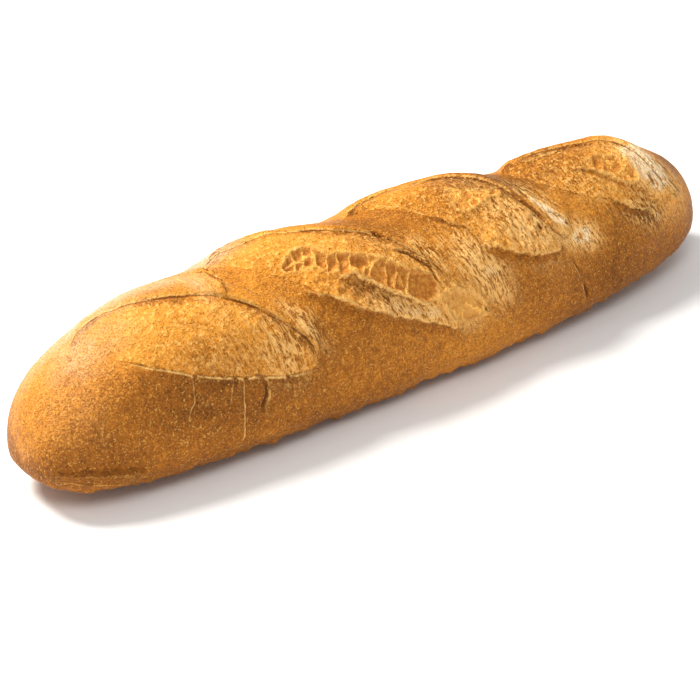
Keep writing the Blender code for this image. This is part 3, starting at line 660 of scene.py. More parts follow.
def add_pockets(x, angle, height, marks):
    """Sink the pockets of open crumb, with a torn rim round each."""
    stray_x, stray_angle = stray(x, angle)
    places = np.stack([x, round_distance(angle), np.zeros_like(x)], axis=1)
    crumbly = lumps(places, RIM_LUMP_SIZE)
    for pocket in POCKETS:
        here, distance, _, _, _ = beside_way(stray_x, stray_angle, pocket.way + pocket.way[:1], SEAM_REACH)
        inside = inside_way(stray_x[here], stray_angle[here], pocket.way)
        gap = np.where(inside, np.abs(distance), -np.abs(distance)) / MILLIMETRE
        if pocket.walls:
            wall_gap = np.full(len(here), 3.0)
        else:
            wall_gap = np.maximum(crumb_walls(pocket, x[here], angle[here]), BUBBLE_NEAREST)
        for way in pocket.walls:
            near, to_wall, _, _, _ = beside_way(stray_x[here], stray_angle[here], way, SEAM_REACH)
            wall_gap[near] = np.minimum(wall_gap[near], np.abs(to_wall) / MILLIMETRE)
        bubbles = smooth_step((wall_gap - BUBBLE_WALL) / BUBBLE_SLOPE)
        deep = smooth_step(gap / POCKET_SLOPE)
        rim = bell(gap + RIM_OFFSET, RIM_WIDTH) * np.clip(0.7 + crumbly[here], 0.0, 1.4)
        height[here] += MILLIMETRE * (RIM_HEIGHT * rim - pocket.depth * deep * (0.45 + 0.55 * bubbles))
        marks["crumb_gap"][here] = np.maximum(marks["crumb_gap"][here], np.clip(gap, -2.0, 3.0))
        marks["wall_gap"][here] = np.where(gap > -1.0, wall_gap, marks["wall_gap"][here])
        # The torn rim is pale crust, made paler along its crest as a painted highlight.
        marks["pale"][here] = np.maximum(marks["pale"][here], 0.7 * rim)
        marks["flakes"][here] += 0.7 * rim
        for name in ("flour_and_highlight", "fibres"):
            marks[name][here] *= 1.0 - deep


def add_slash(number, x, angle, points, height, marks, settings):
    """Open one slash: its torn inside, and the ear that lifted over it. Returns the ear's lean."""
    slash, tear = SLASHES[number], TEARS[number]
    along, across = slash_place(slash, x, angle)
    here = np.flatnonzero((along > 0.0) & (along < 1.0) & (np.abs(across) < SLASH_REACH))
    along, across, points = along[here], across[here], points[here]
    opening = opening_envelope(along)
    ear_edge, skin_edge = slash_edges(number, along)
    share = (across + skin_edge) / (ear_edge + skin_edge)
    inner = np.clip(share, 0.0, 1.0)
    beyond = across - ear_edge
    gap = np.minimum(across + skin_edge, -beyond) / MILLIMETRE
    marks["torn_gap"][here] = np.maximum(marks["torn_gap"][here], np.clip(gap, -3.0, 3.0))
    marks["torn_rough"][here] = np.maximum(marks["torn_rough"][here], smooth_step((along - 0.12) / 0.16))
    inside = smooth_step(gap / 0.5)

    # The torn inside domes up and meets the ear's lip a step below it.
    dome = smooth_step(2.2 * inner) * smooth_step(2.2 * (1.0 - inner))
    lip_stands = 1.0 - smooth_step((along - tear.closes + 0.10) / 0.20)
    uneven = 0.6 + 0.4 * smooth_step(0.5 + 1.2 * lumps(points, GAPE_SIZE))
    gape = lip_stands * smooth_step(4.0 * opening) * uneven
    ear_height = slash.ear * smooth_step(2.4 * opening)
    meeting = ear_height - tear.step * opening * lip_stands
    torn = opening * LEAF_RISE * dome + meeting * smooth_step((inner - 0.35) / 0.65)
    torn += settings.crag_height * opening * smooth_step(4.0 * inner) * lumps(points, CRAG_SIZE)
    grains = lumps(points, TORN_GRAIN_SIZE, 4)
    torn += TORN_GRAIN_HEIGHT * opening * grains * inside * smooth_step((along - 0.05) / 0.4)
    # Painted shade on the torn inside just under the ear's lip, and painted light on the lip's steep front,
    # which the lamp does not reach.
    painted_shade_under_lip = 0.26 * bell(beyond + 0.0020, 0.0018) * inside
    painted_light_on_lip = 0.22 * bell(beyond - 0.0003, 0.0009)
    marks["toast_and_painted_light"][here] += gape * (painted_shade_under_lip - painted_light_on_lip)
    fibres = tear.fibres * smooth_step((along - 0.25) / 0.5) * smooth_step((0.97 - share) / 0.15) * opening
    marks["fibres"][here] = np.maximum(marks["fibres"][here], fibres * inside)

    # The gap under the ear, and the ear itself with its rounded lip.
    crevice = bell(beyond + 1.5 * CREVICE_WIDTH, CREVICE_WIDTH) * gape
    torn -= settings.crevice_depth * crevice
    lifted = smooth_step(beyond / EDGE_WIDTH + 0.5)
    fade = np.exp(-(np.maximum(beyond, 0.0) / EAR_REACH) ** 1.5)
    rounding = 0.35 * tear.step * lip_stands * np.exp(-np.maximum(beyond, 0.0) / LIP_ROUNDING)
    torn *= smooth_step(gap / 0.2 + 1.0)
    height[here] += torn * (1.0 - lifted) + (ear_height * fade - rounding) * lifted
    # Painted shade along the crevice under the lip, and a pale edge on the lip.
    add_line(marks, here, (beyond + 1.4 * CREVICE_WIDTH) / MILLIMETRE, tear.line * gape,
             0.85 * gape, 0.6 * lip_stands * smooth_step(2.0 * opening))
    marks["flakes"][here] += 0.4 * bell(beyond - 0.0002, 0.0005) * opening * lip_stands
    lean = np.zeros_like(x)
    lean[here] = settings.ear_overhang * fade * lifted * lip_stands * smooth_step(1.6 * opening)
    return lean


# Values that the crust's material reads at each vertex, and what they are where nothing sets them.
# Distances inside an edge or from a line stay sharp however coarse the mesh is.
MARKS = {"toast_and_painted_light": 0.495, "skin_toast_and_painted_light": 0.0, "torn_gap": -3.0, "torn_rough": 0.0, "fibres": 0.0,
         "crumb_gap": -2.0, "wall_gap": 3.0, "pale": 0.0, "flour_and_highlight": 0.0, "dusted_and_sheen": 0.0,
         "line_place": 5.0, "line_half_width": 0.1, "line_painted_shade": 0.0, "line_pale": 0.0, "flakes": 0.0}


def crust_points(x, angle, settings):
    """Every vertex of the finished crust, and the marks that its material reads."""
    x, angle = gather_on_edges(x, angle)
    x, angle = gather_on_seams(x, angle)
    smooth_points, _ = loaf_points(x, angle)
    marks = {name: np.full_like(x, value) for name, value in MARKS.items()}

    height = LOAF_UNEVENNESS * lumps(smooth_points, LUMP_SIZE) - STRAP_DIP * strap_depth(x, angle)
    height += FOOT_FLARE * bell(np.abs(angle) - FOOT_ANGLE, FOOT_SPREAD)
    foot = bell(np.abs(angle) - FOOT_ANGLE, FOOT_RAGGED_SPREAD)
    height += settings.foot_raggedness * foot * lumps(smooth_points, FOOT_LUMP_SIZE, 4)
    low = down_side(angle, *PIMPLY_SIDE)
    height += settings.pimple_height * (0.5 + 0.5 * low) * lumps(smooth_points, PIMPLE_SIZE, 4)
    for swell_x, swell_angle, reach_along, reach_across, turn, swell_height in SWELLINGS:
        along, across = turned(x - swell_x * MILLIMETRE, angle - swell_angle, -turn)
        across = round_distance(across) / MILLIMETRE
        swell = bell(along / MILLIMETRE, reach_along) * bell(across, reach_across)
        height += swell_height * MILLIMETRE * swell
    lean_x, lean_angle = x, angle
    for number, slash in enumerate(SLASHES):
        lean = add_slash(number, x, angle, smooth_points, height, marks, settings)
        lean_x, lean_angle = slide_across(slash, lean_x, lean_angle, -lean)
    add_patches(x, angle, marks)
    add_seams(x, angle, height, marks, settings)
    add_pockets(x, angle, height, marks)
    threads = unrolled_lumps(*turned(x, angle, FIBRE_TILT), THREAD_WIDTH, THREAD_LENGTH, seed=5.0, octaves=4)
    height += THREAD_HEIGHT * marks["fibres"] * threads

    browner, *side = BROWNER_SIDE
    baking = BAKING_UNEVENNESS * lumps(smooth_points, BAKING_LUMP_SIZE)
    marks["toast_and_painted_light"] += browner * down_side(angle, *side) + baking
    browner, *side = BROWNER_SKIN
    marks["skin_toast_and_painted_light"] += browner * down_side(angle, *side)
    points, outward = loaf_points(lean_x, lean_angle)
    points += outward * height[:, None]
    points[:, 2] = np.maximum(points[:, 2], 0.0)
    return points, marks, x, angle


def turned(x, angle, degrees):
    """Places on the unrolled crust, turned about its origin."""
    g = round_distance(angle)
    cosine, sine = math.cos(math.radians(degrees)), math.sin(math.radians(degrees))
    return x * cosine - g * sine, np.degrees((x * sine + g * cosine) / MEAN_RADIUS)


def unrolled_map(mesh, x, angle):
    """A UV map of the crust rolled out flat, with its seam along the middle of the underside."""
    corners = np.empty(len(mesh.loops), int)
    mesh.loops.foreach_get("vertex_index", corners)
    corners = corners.reshape(-1, 3)
    along = x[corners] / LOAF_LENGTH + 0.5
    turn = angle[corners] / 360.0 + 0.5
    crossing = turn.max(axis=1) - turn.min(axis=1) > 0.5
    turn[crossing] += turn[crossing] < 0.5
    at_tip = np.abs(x[corners]) > LOAF_LENGTH / 2.0 - 1e-6
    others = np.where(at_tip, 0.0, turn).sum(axis=1) / np.maximum((~at_tip).sum(axis=1), 1)
    turn = np.where(at_tip, others[:, None], turn)
    layer = mesh.uv_layers.new(name="unrolled")
    layer.uv.foreach_set("vector", np.stack([along, turn], axis=2).ravel())


# ================================================================ materials
def linear(code):
    """A colour written as sRGB hex, such as "#C88A3C", as linear red, green, blue and alpha."""
    parts = [int(code[place:place + 2], 16) / 255.0 for place in (1, 3, 5)]
    parts = [part / 12.92 if part <= 0.04045 else ((part + 0.055) / 1.055) ** 2.4 for part in parts]
    return (*parts, 1.0)


def add_node(tree, kind, links=None, stops=None, **settings):
    """Add a node with its settings, its colour stops, and its inputs' values or links."""
    node = tree.nodes.new(kind)
    for name, value in settings.items():
        setattr(node, name, value)
    for socket, value in (links or {}).items():
        if isinstance(value, bpy.types.NodeSocket):
            tree.links.new(value, node.inputs[socket])
        else:
            node.inputs[socket].default_value = value
    for number, (place, colour) in enumerate(stops or ()):
        ramp = node.color_ramp.elements
        stop = ramp[number] if number < len(ramp) else ramp.new(place)
        stop.position = place
        stop.color = colour
    return node


def new_material(name):
    """An empty node material and its tree."""
    material = bpy.data.materials.new(name)
    material.use_nodes = True
    material.node_tree.nodes.clear()
    return material, material.node_tree


# How the crust's material works its values out, in order: what comes out, what is done, and to
# which marks, patterns, earlier values or numbers. STRETCH takes a value, the range that it is
# stretched from and, unless that is 0 to 1, the range it is stretched to. A name that comes twice
# is worked on further.
CRUST_RECIPE = (
    ("ragged", "STRETCH", "mottle", 0.30, 0.70, -0.3, 0.3),
    ("frayed", "STRETCH", "specks", 0.30, 0.70, -0.5, 0.5),
    ("broken", "STRETCH", "mottle", 0.35, 0.60, 0.25, 1.0),
    ("dull", "STRETCH", "mottle", 0.30, 0.70, 0.42, 0.56),
    ("blotched", "STRETCH", "blotches", 0.30, 0.70, 0.035, -0.035),
    ("mottled", "STRETCH", "mottle", 0.30, 0.70, 0.07, -0.07),
    ("grained", "STRETCH", "grain", 0.30, 0.70, 0.12, -0.12),
    ("creased", "STRETCH", "wrinkles", 0.30, 0.70, 0.07, -0.07),
    # Torn inside and open crumb, made sharp from the distances.
    ("torn", "ADD", "torn_gap", "ragged"),
    ("torn", "STRETCH", "torn", -0.15, 0.35),
    ("torn", "MULTIPLY", "torn", "torn_rough"),
    ("crumb shows", "MULTIPLY_ADD", "ragged", 0.5, "crumb_gap"),
    ("crumb shows", "STRETCH", "crumb shows", -0.10, 0.15),
    # Painted shade along the cracks, creases and crevices, darker in its middle, and the pale lip on
    # one side of each, partly a painted highlight on its crest.
    ("beside line", "MULTIPLY_ADD", "frayed", 0.25, "line_place"),
    ("line", "ABSOLUTE", "beside line"),
    ("line", "DIVIDE", "line", "line_half_width"),
    ("line", "STRETCH", "line", 1.4, 0.7),
    ("line", "MULTIPLY", "line", "line_painted_shade"),
    ("line height", "MULTIPLY", "line", -1.0),
    ("deep line", "STRETCH", "line", 0.7, 1.0, 0.0, 0.6),
    ("lip", "SUBTRACT", "beside line", "line_half_width"),
    ("lip", "ADD", "lip", -0.45),
    ("lip", "ABSOLUTE", "lip"),
    ("lip", "STRETCH", "lip", 0.45, 0.15),
    ("lip", "MULTIPLY", "lip", "broken"),
    ("lip", "MULTIPLY", "lip", "line_pale"),
    # How far the crust is baked, from 0 to 1, with the painted shade and light its marks add: darker
    # in the troughs between the stretched threads, as painted shade.
    ("rough parts", "MULTIPLY", "crags", "torn"),
    ("skin", "SUBTRACT", 1.0, "torn"),
    ("troughs", "STRETCH", "threads", 0.49, 0.42),
    ("troughs", "MULTIPLY", "troughs", "fibres"),
    ("level", "MULTIPLY_ADD", "torn", 0.01, "toast_and_painted_light"),
    ("level", "MULTIPLY_ADD", "skin", "skin_toast_and_painted_light", "level"),
    ("level", "MULTIPLY_ADD", "rough parts", -0.28, "level"),
    ("level", "MULTIPLY_ADD", "troughs", 0.30, "level"),
    ("level", "ADD", "level", "blotched"),
    ("level", "ADD", "level", "mottled"),
    ("level", "ADD", "level", "grained"),
    ("level", "ADD", "level", "creased"),
    # Flecks of flour on the skin, and pale flakes on the crags of the torn inside.
    ("flecks", "STRETCH", "specks", 0.61, 0.68, 0.0, 0.42),
    ("flaky", "STRETCH", "crags", 0.56, 0.64, 0.0, 0.5),
    ("flaky", "MULTIPLY", "flaky", "torn"),
    # The open crumb's colour, from 0 on a wall to 1 inside a bubble.
    ("crumb grain", "STRETCH", "crags", 0.36, 0.62, 0.15, -0.34),
    ("off wall", "MULTIPLY_ADD", "frayed", 0.4, "wall_gap"),
    ("off wall", "STRETCH", "off wall", 0.12, 0.34),
    ("inside bubbles", "ADD", "off wall", "crumb grain"),
    # Stretched threads: their pale crests and their height.
    ("stretched", "STRETCH", "threads", 0.50, 0.55),
    ("stretched", "MULTIPLY", "stretched", "fibres"),
    ("thread height", "MULTIPLY", "threads", "fibres"),
    # Golden flour in streaks, whitened where there is most of it, which on the far end's top and the
    # last strap's tip is a painted highlight, and a dusting of white flour with a painted sheen.
    ("flour grain", "STRETCH", "grain", 0.36, 0.56, 0.45, 1.0),
    ("streaks", "STRETCH", "threads", 0.43, 0.50, 0.12, 1.0),
    ("floury", "MULTIPLY", "flour grain", "flour_and_highlight"),
    ("floury", "MULTIPLY", "floury", "streaks"),
    ("whitened", "STRETCH", "flour_and_highlight", 0.90, 1.35),
    ("whitened", "MULTIPLY", "whitened", "floury"),
    ("dusting_and_sheen", "STRETCH", "grain", 0.38, 0.60, 0.25, 1.0),
    ("dusting_and_sheen", "MULTIPLY", "dusting_and_sheen", "dusted_and_sheen"),
)
KEPT_BELOW_ONE = ("inside bubbles", "whitened", "dusting_and_sheen")


def crust_material(settings):
    """Oven-baked wheat crust: matte, mottled, finely blistered, with pale stretched fibres."""
    material, tree = new_material("baked wheat crust")
    place = add_node(tree, "ShaderNodeTexCoord").outputs["Object"]
    flat = add_node(tree, "ShaderNodeUVMap", uv_map="unrolled").outputs["UV"]
    value = {name: add_node(tree, "ShaderNodeAttribute", attribute_name=name).outputs["Fac"]
             for name in MARKS if name != "flakes"}

    # Object coordinates are metres, so a pattern's scale is one over the size of its lumps.
    # Real blisters and flour grains are 0.1 to 0.3 mm; grain and specks are coarser so that they show.
    for name, size, detail in (
            ("blotches", 0.016, 3.0), ("mottle", 0.0026, 4.0), ("grain", 0.0006, 2.0),
            ("specks", 0.0008, 1.0), ("wrinkles", 0.0011, 3.0), ("crags", 0.0016, 4.0)):
        value[name] = add_node(tree, "ShaderNodeTexNoise", {
            "Vector": place, "Scale": 1.0 / size, "Detail": detail}).outputs["Fac"]

    # Pale threads about a millimetre apart that lean from running round the loaf.
    rolled_out = add_node(tree, "ShaderNodeVectorMath", {
        0: flat, 1: (LOAF_LENGTH, 2.0 * math.pi * MEAN_RADIUS, 1.0)}, operation="MULTIPLY").outputs[0]
    threads_place = add_node(tree, "ShaderNodeMapping", {
        "Vector": rolled_out, "Rotation": (0.0, 0.0, -math.radians(FIBRE_TILT)),
        "Scale": (0.0009, 0.0034, 1.0)}, vector_type="TEXTURE").outputs["Vector"]
    value["threads"] = add_node(tree, "ShaderNodeTexNoise", {
        "Vector": threads_place, "Scale": 1.0, "Detail": 4.0, "Roughness": 0.65,
        "Distortion": 0.9}).outputs["Fac"]

    for name, operation, *terms in CRUST_RECIPE:
        terms = [value[term] if isinstance(term, str) else term for term in terms]
        if operation == "STRETCH":
            stretch = zip(("Value", "From Min", "From Max", "To Min", "To Max"), terms)
            node = add_node(tree, "ShaderNodeMapRange", dict(stretch))
        else:
            node = add_node(tree, "ShaderNodeMath", dict(enumerate(terms)), operation=operation,
                            use_clamp=name in KEPT_BELOW_ONE)
        value[name] = node.outputs[0]

    # The colour of the baking with its painted shade and light, and over it, from below: flecks and
    # flakes, open crumb with pale walls round its bubbles, stretched fibres, bare spots, pale lips that
    # are partly painted highlights, golden and white flour with painted highlights, dusting with a
    # painted sheen, and painted shade along the lines, darkest in their middles.
    colour = add_node(tree, "ShaderNodeValToRGB", {"Fac": value["level"]}, stops=(
        (0.00, linear("#F5BE70")), (0.22, settings.pale_crust[:]), (0.42, settings.golden_crust[:]),
        (0.66, settings.brown_crust[:]), (0.95, linear("#5E3410")))).outputs["Color"]
    crumb = add_node(tree, "ShaderNodeMix", {
        0: value["inside bubbles"], 6: settings.crumb_wall[:], 7: settings.crumb_colour[:]},
        data_type="RGBA").outputs[2]
    for cover, top in (
            ("flecks", linear("#F0B95E")), ("flaky", linear("#FBC06C")), ("crumb shows", crumb),
            ("stretched", settings.fibre_colour[:]), ("pale", linear("#FFC468")),
            ("lip", linear("#FFCB78")), ("floury", linear("#FFC87A")), ("whitened", linear("#FFE0B2")),
            ("dusting_and_sheen", linear("#DCC8A4")), ("line", linear("#824A1A")), ("deep line", linear("#54290A"))):
        colour = add_node(tree, "ShaderNodeMix", {
            0: value[cover], 6: colour, 7: top}, data_type="RGBA").outputs[2]

    # Bumps: grain and wrinkles of the skin, crags of the torn inside, threads, and the lines' cut.
    normal = add_node(tree, "ShaderNodeBump", {
        "Strength": 1.0, "Distance": 0.0006, "Height": value["grain"]}).outputs["Normal"]
    for height, strength, depth in (
            ("wrinkles", 0.5, 0.0007), ("mottle", 0.4, 0.0006), ("rough parts", 0.8, 0.0012),
            ("thread height", 0.6, 0.0012), ("line height", 0.6, 0.0005)):
        normal = add_node(tree, "ShaderNodeBump", {
            "Strength": strength, "Distance": depth, "Height": value[height],
            "Normal": normal}).outputs["Normal"]
    shader = add_node(tree, "ShaderNodeBsdfPrincipled", {
        "Base Color": colour, "Roughness": value["dull"], "Normal": normal,
        "IOR": 1.45, "Specular IOR Level": 0.12})
    add_node(tree, "ShaderNodeOutputMaterial", {"Surface": shader.outputs["BSDF"]})
    return material


def flake_material(settings):
    """Dry shards of crust: thin, pale and dull, browned on some sides."""
    material, tree = new_material("dry crust flakes")
    place = add_node(tree, "ShaderNodeTexCoord").outputs["Object"]
    patches = add_node(tree, "ShaderNodeTexNoise", {"Vector": place, "Scale": 1.0 / 0.004, "Detail": 2.0})
    colour = add_node(tree, "ShaderNodeValToRGB", {"Fac": patches.outputs["Fac"]}, stops=(
        (0.3, settings.golden_crust[:]), (0.5, settings.pale_crust[:]), (0.7, settings.fibre_colour[:])))
    pores = add_node(tree, "ShaderNodeTexNoise", {"Vector": place, "Scale": 1.0 / 0.0006})
    bump = add_node(tree, "ShaderNodeBump", {
        "Strength": 0.4, "Distance": 0.0003, "Height": pores.outputs["Fac"]})
    shader = add_node(tree, "ShaderNodeBsdfPrincipled", {
        "Base Color": colour.outputs["Color"], "Normal": bump.outputs["Normal"],
        "Roughness": 0.65, "IOR": 1.45})
    add_node(tree, "ShaderNodeOutputMaterial", {"Surface": shader.outputs["BSDF"]})
    return material


def floor_material(settings):
    """Seamless studio paper: matte, with no visible grain."""
    material, tree = new_material("matte studio paper")
    place = add_node(tree, "ShaderNodeTexCoord").outputs["Object"]
    fibre = add_node(tree, "ShaderNodeTexNoise", {"Vector": place, "Scale": 1.0 / 0.003, "Detail": 2.0})
    bump = add_node(tree, "ShaderNodeBump", {
        "Strength": 0.05, "Distance": 0.0002, "Height": fibre.outputs["Fac"]})
    shader = add_node(tree, "ShaderNodeBsdfPrincipled", {
        "Base Color": settings.floor_colour[:], "Normal": bump.outputs["Normal"], "Roughness": 0.9})
    add_node(tree, "ShaderNodeOutputMaterial", {"Surface": shader.outputs["BSDF"]})
    return material


# ================================================================ the pieces
def new_piece(name, mesh, material):
    """An object of a finished mesh, at the origin, with one material."""
    mesh.materials.clear()
    mesh.materials.append(material)
    piece = bpy.data.objects.new(name, mesh)
    bpy.context.scene.collection.objects.link(piece)
    return piece


def ordered_faces(ball):
    """The corners of all triangles, in an order that is the same each run.

    bmesh's own order varies between runs, and the flakes are scattered face by face.
    """
    ball.verts.index_update()
    faces = np.array([[vertex.index for vertex in face.verts] for face in ball.faces])
    turned_to_lowest = (faces.argmin(axis=1)[:, None] + np.arange(3)) % 3
    faces = np.take_along_axis(faces, turned_to_lowest, axis=1)
    return faces[np.lexsort(faces.T[::-1])].tolist()


def make_crust(settings):
    """The whole loaf: a sphere whose every vertex is moved to its place on the crust."""
    ball = bmesh.new()
    bmesh.ops.create_uvsphere(ball, u_segments=SEGMENTS_ROUND, v_segments=RINGS_ALONG, radius=1.0)
    sphere = np.array([vertex.co for vertex in ball.verts], float)
    x = ring_places(1.0 - 2.0 * np.arccos(np.clip(sphere[:, 2], -1.0, 1.0)) / np.pi)
    turn = np.arctan2(sphere[:, 1], sphere[:, 0])
    angle = np.degrees(turn - CROWDING * np.sin(turn - np.radians(CROWDING_ANGLE)))
    angle = (angle + 180.0) % 360.0 - 180.0
    points, marks, x, angle = crust_points(x, angle, settings)
    for vertex, point in zip(ball.verts, points):
        vertex.co = point
    bmesh.ops.triangulate(ball, faces=ball.faces, quad_method="SHORT_EDGE")
    bmesh.ops.recalc_face_normals(ball, faces=ball.faces)

    mesh = bpy.data.meshes.new("baguette_crust")
    mesh.from_pydata(points.tolist(), [], ordered_faces(ball))
    ball.free()
    mesh.shade_smooth()
    unrolled_map(mesh, x, angle)
    for name, values in marks.items():
        layer = mesh.attributes.new(name, "FLOAT", "POINT")
        layer.data.foreach_set("value", values.astype(np.float32))
    return new_piece("baguette_crust", mesh, crust_material(settings))


def flake_tree():
    """Geometry Nodes that scatter small shards of crust where the loaf's flakes mark says."""
    tree = bpy.data.node_groups.new("scattered flakes", "GeometryNodeTree")
    face = tree.interface
    face.new_socket("Geometry", in_out="INPUT", socket_type="NodeSocketGeometry")
    for name, kind in (("Flakes per Square Metre", "NodeSocketFloat"), ("Flake Size", "NodeSocketFloat"),
                       ("Material", "NodeSocketMaterial")):
        face.new_socket(name, in_out="INPUT", socket_type=kind)
    face.new_socket("Geometry", in_out="OUTPUT", socket_type="NodeSocketGeometry")
    inputs = add_node(tree, "NodeGroupInput").outputs

    mark = add_node(tree, "GeometryNodeInputNamedAttribute", {"Name": "flakes"}, data_type="FLOAT").outputs[0]
    density = add_node(tree, "ShaderNodeMath", {0: mark, 1: inputs["Flakes per Square Metre"]},
                       operation="MULTIPLY").outputs[0]
    scatter = add_node(tree, "GeometryNodeDistributePointsOnFaces", {
        "Mesh": inputs["Geometry"], "Density": density, "Seed": 4})
    ball = add_node(tree, "GeometryNodeMeshIcoSphere", {"Radius": 0.5, "Subdivisions": 1}).outputs["Mesh"]
    shard = add_node(tree, "GeometryNodeTransform", {
        "Geometry": ball, "Scale": (1.0, 0.6, 0.16)}).outputs["Geometry"]
    tilt = add_node(tree, "FunctionNodeRandomValue", {
        0: (-0.7, -0.7, 0.0), 1: (0.7, 0.7, 6.28), "Seed": 7}, data_type="FLOAT_VECTOR").outputs["Value"]
    facing = add_node(tree, "FunctionNodeRotateEuler", {
        "Rotation": scatter.outputs["Rotation"], "Rotate By": tilt}, rotation_type="EULER", space="LOCAL")
    sizes = add_node(tree, "FunctionNodeRandomValue", {
        2: 0.35, 3: 1.0, "Seed": 9}, data_type="FLOAT").outputs[1]
    scale = add_node(tree, "ShaderNodeMath", {
        0: sizes, 1: inputs["Flake Size"]}, operation="MULTIPLY").outputs[0]
    placed = add_node(tree, "GeometryNodeInstanceOnPoints", {
        "Points": scatter.outputs["Points"], "Instance": shard, "Rotation": facing.outputs[0],
        "Scale": scale})
    real = add_node(tree, "GeometryNodeRealizeInstances", {"Geometry": placed.outputs["Instances"]})
    ragged = add_node(tree, "ShaderNodeTexNoise", {"Scale": 1.0 / 0.0009}).outputs["Color"]
    centred = add_node(tree, "ShaderNodeVectorMath", {0: ragged, 1: (0.5, 0.5, 0.5)}, operation="SUBTRACT")
    shift = add_node(tree, "ShaderNodeVectorMath", {
        0: centred.outputs["Vector"], "Scale": 0.0011}, operation="SCALE")
    moved = add_node(tree, "GeometryNodeSetPosition", {
        "Geometry": real.outputs["Geometry"], "Offset": shift.outputs["Vector"]})
    finish = add_node(tree, "GeometryNodeSetMaterial", {
        "Geometry": moved.outputs["Geometry"], "Material": inputs["Material"]})
    add_node(tree, "NodeGroupOutput", {"Geometry": finish.outputs["Geometry"]})
    return tree


def make_flakes(crust, settings):
    """Small dry flakes along the torn edges, as one plain mesh."""
    tree = flake_tree()
    sockets = {item.name: item.identifier for item in tree.interface.items_tree if item.in_out == "INPUT"}
    material = flake_material(settings)
    carrier = bpy.data.objects.new("flake carrier", crust.data.copy())
    bpy.context.scene.collection.objects.link(carrier)
    nodes = carrier.modifiers.new("flakes", "NODES")
    nodes.node_group = tree
    nodes[sockets["Flakes per Square Metre"]] = settings.flake_density
    nodes[sockets["Flake Size"]] = settings.flake_size
    nodes[sockets["Material"]] = material
    depsgraph = bpy.context.evaluated_depsgraph_get()
    mesh = bpy.data.meshes.new_from_object(carrier.evaluated_get(depsgraph))
    mesh.name = "crust_flakes"
    bpy.data.objects.remove(carrier, do_unlink=True)
    return new_piece("crust_flakes", mesh, material)


def make_stage(settings):
    """The floor, the lights and the camera at the photograph's viewing angle."""
    scene = bpy.context.scene
    square = bmesh.new()
    bmesh.ops.create_grid(square, x_segments=1, y_segments=1, size=FLOOR_SIZE / 2.0)
    mesh = bpy.data.meshes.new("floor")
    square.to_mesh(mesh)
    square.free()
    floor = new_piece("floor", mesh, floor_material(settings))

    for name, direction, power, colour in (
            ("window light", KEY_DIRECTION, settings.key_power, settings.key_colour),
            ("front reflector", REFLECTOR_DIRECTION, settings.reflector_power, (1.0, 1.0, 1.0))):
        lamp = bpy.data.lights.new(name, "AREA")
        lamp.shape = "DISK"
        lamp.size = settings.key_size
        lamp.energy = power
        lamp.color = colour
        light = bpy.data.objects.new(name, lamp)
        light.location = Vector(direction).normalized() * settings.key_distance
        light.rotation_euler = Vector(direction).to_track_quat("Z", "Y").to_euler()
        scene.collection.objects.link(light)

    world = bpy.data.worlds.new("studio")
    world.use_nodes = True
    sky = world.node_tree.nodes["Background"]
    sky.inputs["Color"].default_value = (1.0, 1.0, 1.0, 1.0)
    sky.inputs["Strength"].default_value = settings.fill_strength
    scene.world = world

    lens = bpy.data.cameras.new("camera")
    lens.lens = CAMERA_LENS
    lens.clip_end = 20.0
    camera = bpy.data.objects.new("camera", lens)
    camera.location = CAMERA_PLACE
    aim = Vector(CAMERA_AIM) - Vector(CAMERA_PLACE)
    camera.rotation_euler = aim.to_track_quat("-Z", "Y").to_euler()
    scene.collection.objects.link(camera)
    scene.camera = camera
    scene.view_settings.view_transform = "Standard"


# ================================================================ settings, operators and panel
# What all colour settings say alike.
COLOUR = {"subtype": "COLOR", "size": 4, "min": 0.0, "max": 1.0}


class BaguetteCrustSettings(bpy.types.PropertyGroup):
    """Sizes and colours of the crust and its flakes."""
    crag_height: bpy.props.FloatProperty(
        name="Crag Height", description="Height of the lumps of the torn inside",
        default=0.0006, min=0.0, max=0.003, unit="LENGTH")
    pimple_height: bpy.props.FloatProperty(
        name="Pimple Height", description="Height of the small pimples of the skin",
        default=0.00018, min=0.0, max=0.001, unit="LENGTH")
    ear_overhang: bpy.props.FloatProperty(
        name="Ear Overhang", description="How far an ear's lip leans over the torn inside",
        default=0.0006, min=0.0, max=0.003, unit="LENGTH")
    crevice_depth: bpy.props.FloatProperty(
        name="Crevice Depth", description="Depth of the gap under an ear's lip",
        default=0.0006, min=0.0, max=0.004, unit="LENGTH")
    seam_depth: bpy.props.FloatProperty(
        name="Seam Depth", description="Factor on the depth of the cracks and the height of the folds",
        default=1.0, min=0.0, max=2.0, subtype="FACTOR")
    foot_raggedness: bpy.props.FloatProperty(
        name="Foot Raggedness", description="Height of the ragged lumps just above the tray",
        default=0.0012, min=0.0, max=0.003, unit="LENGTH")
    flake_density: bpy.props.FloatProperty(
        name="Flakes per Square Metre", description="Number of flakes where the torn edges are roughest",
        default=400000.0, min=0.0, max=2000000.0)
    flake_size: bpy.props.FloatProperty(
        name="Flake Size", description="Length of the largest flakes",
        default=0.0012, min=0.0002, max=0.004, unit="LENGTH")
    pale_crust: bpy.props.FloatVectorProperty(
        name="Pale Crust", description="Colour of lightly baked crust",
        **COLOUR, default=linear("#E8A140"))
    golden_crust: bpy.props.FloatVectorProperty(
        name="Golden Crust", description="Colour of crust baked to gold",
        **COLOUR, default=linear("#D68A2E"))
    brown_crust: bpy.props.FloatVectorProperty(
        name="Brown Crust", description="Colour of well baked crust",
        **COLOUR, default=linear("#9F5F1C"))
    fibre_colour: bpy.props.FloatVectorProperty(
        name="Stretched Fibres", description="Colour of the pale threads in the torn crust",
        **COLOUR, default=linear("#FCC879"))
    crumb_colour: bpy.props.FloatVectorProperty(
        name="Crumb", description="Colour inside the bubbles of the open crumb",
        **COLOUR, default=linear("#BE752C"))
    crumb_wall: bpy.props.FloatVectorProperty(
        name="Crumb Walls", description="Colour of the thin walls between the bubbles",
        **COLOUR, default=linear("#FFBE5E"))


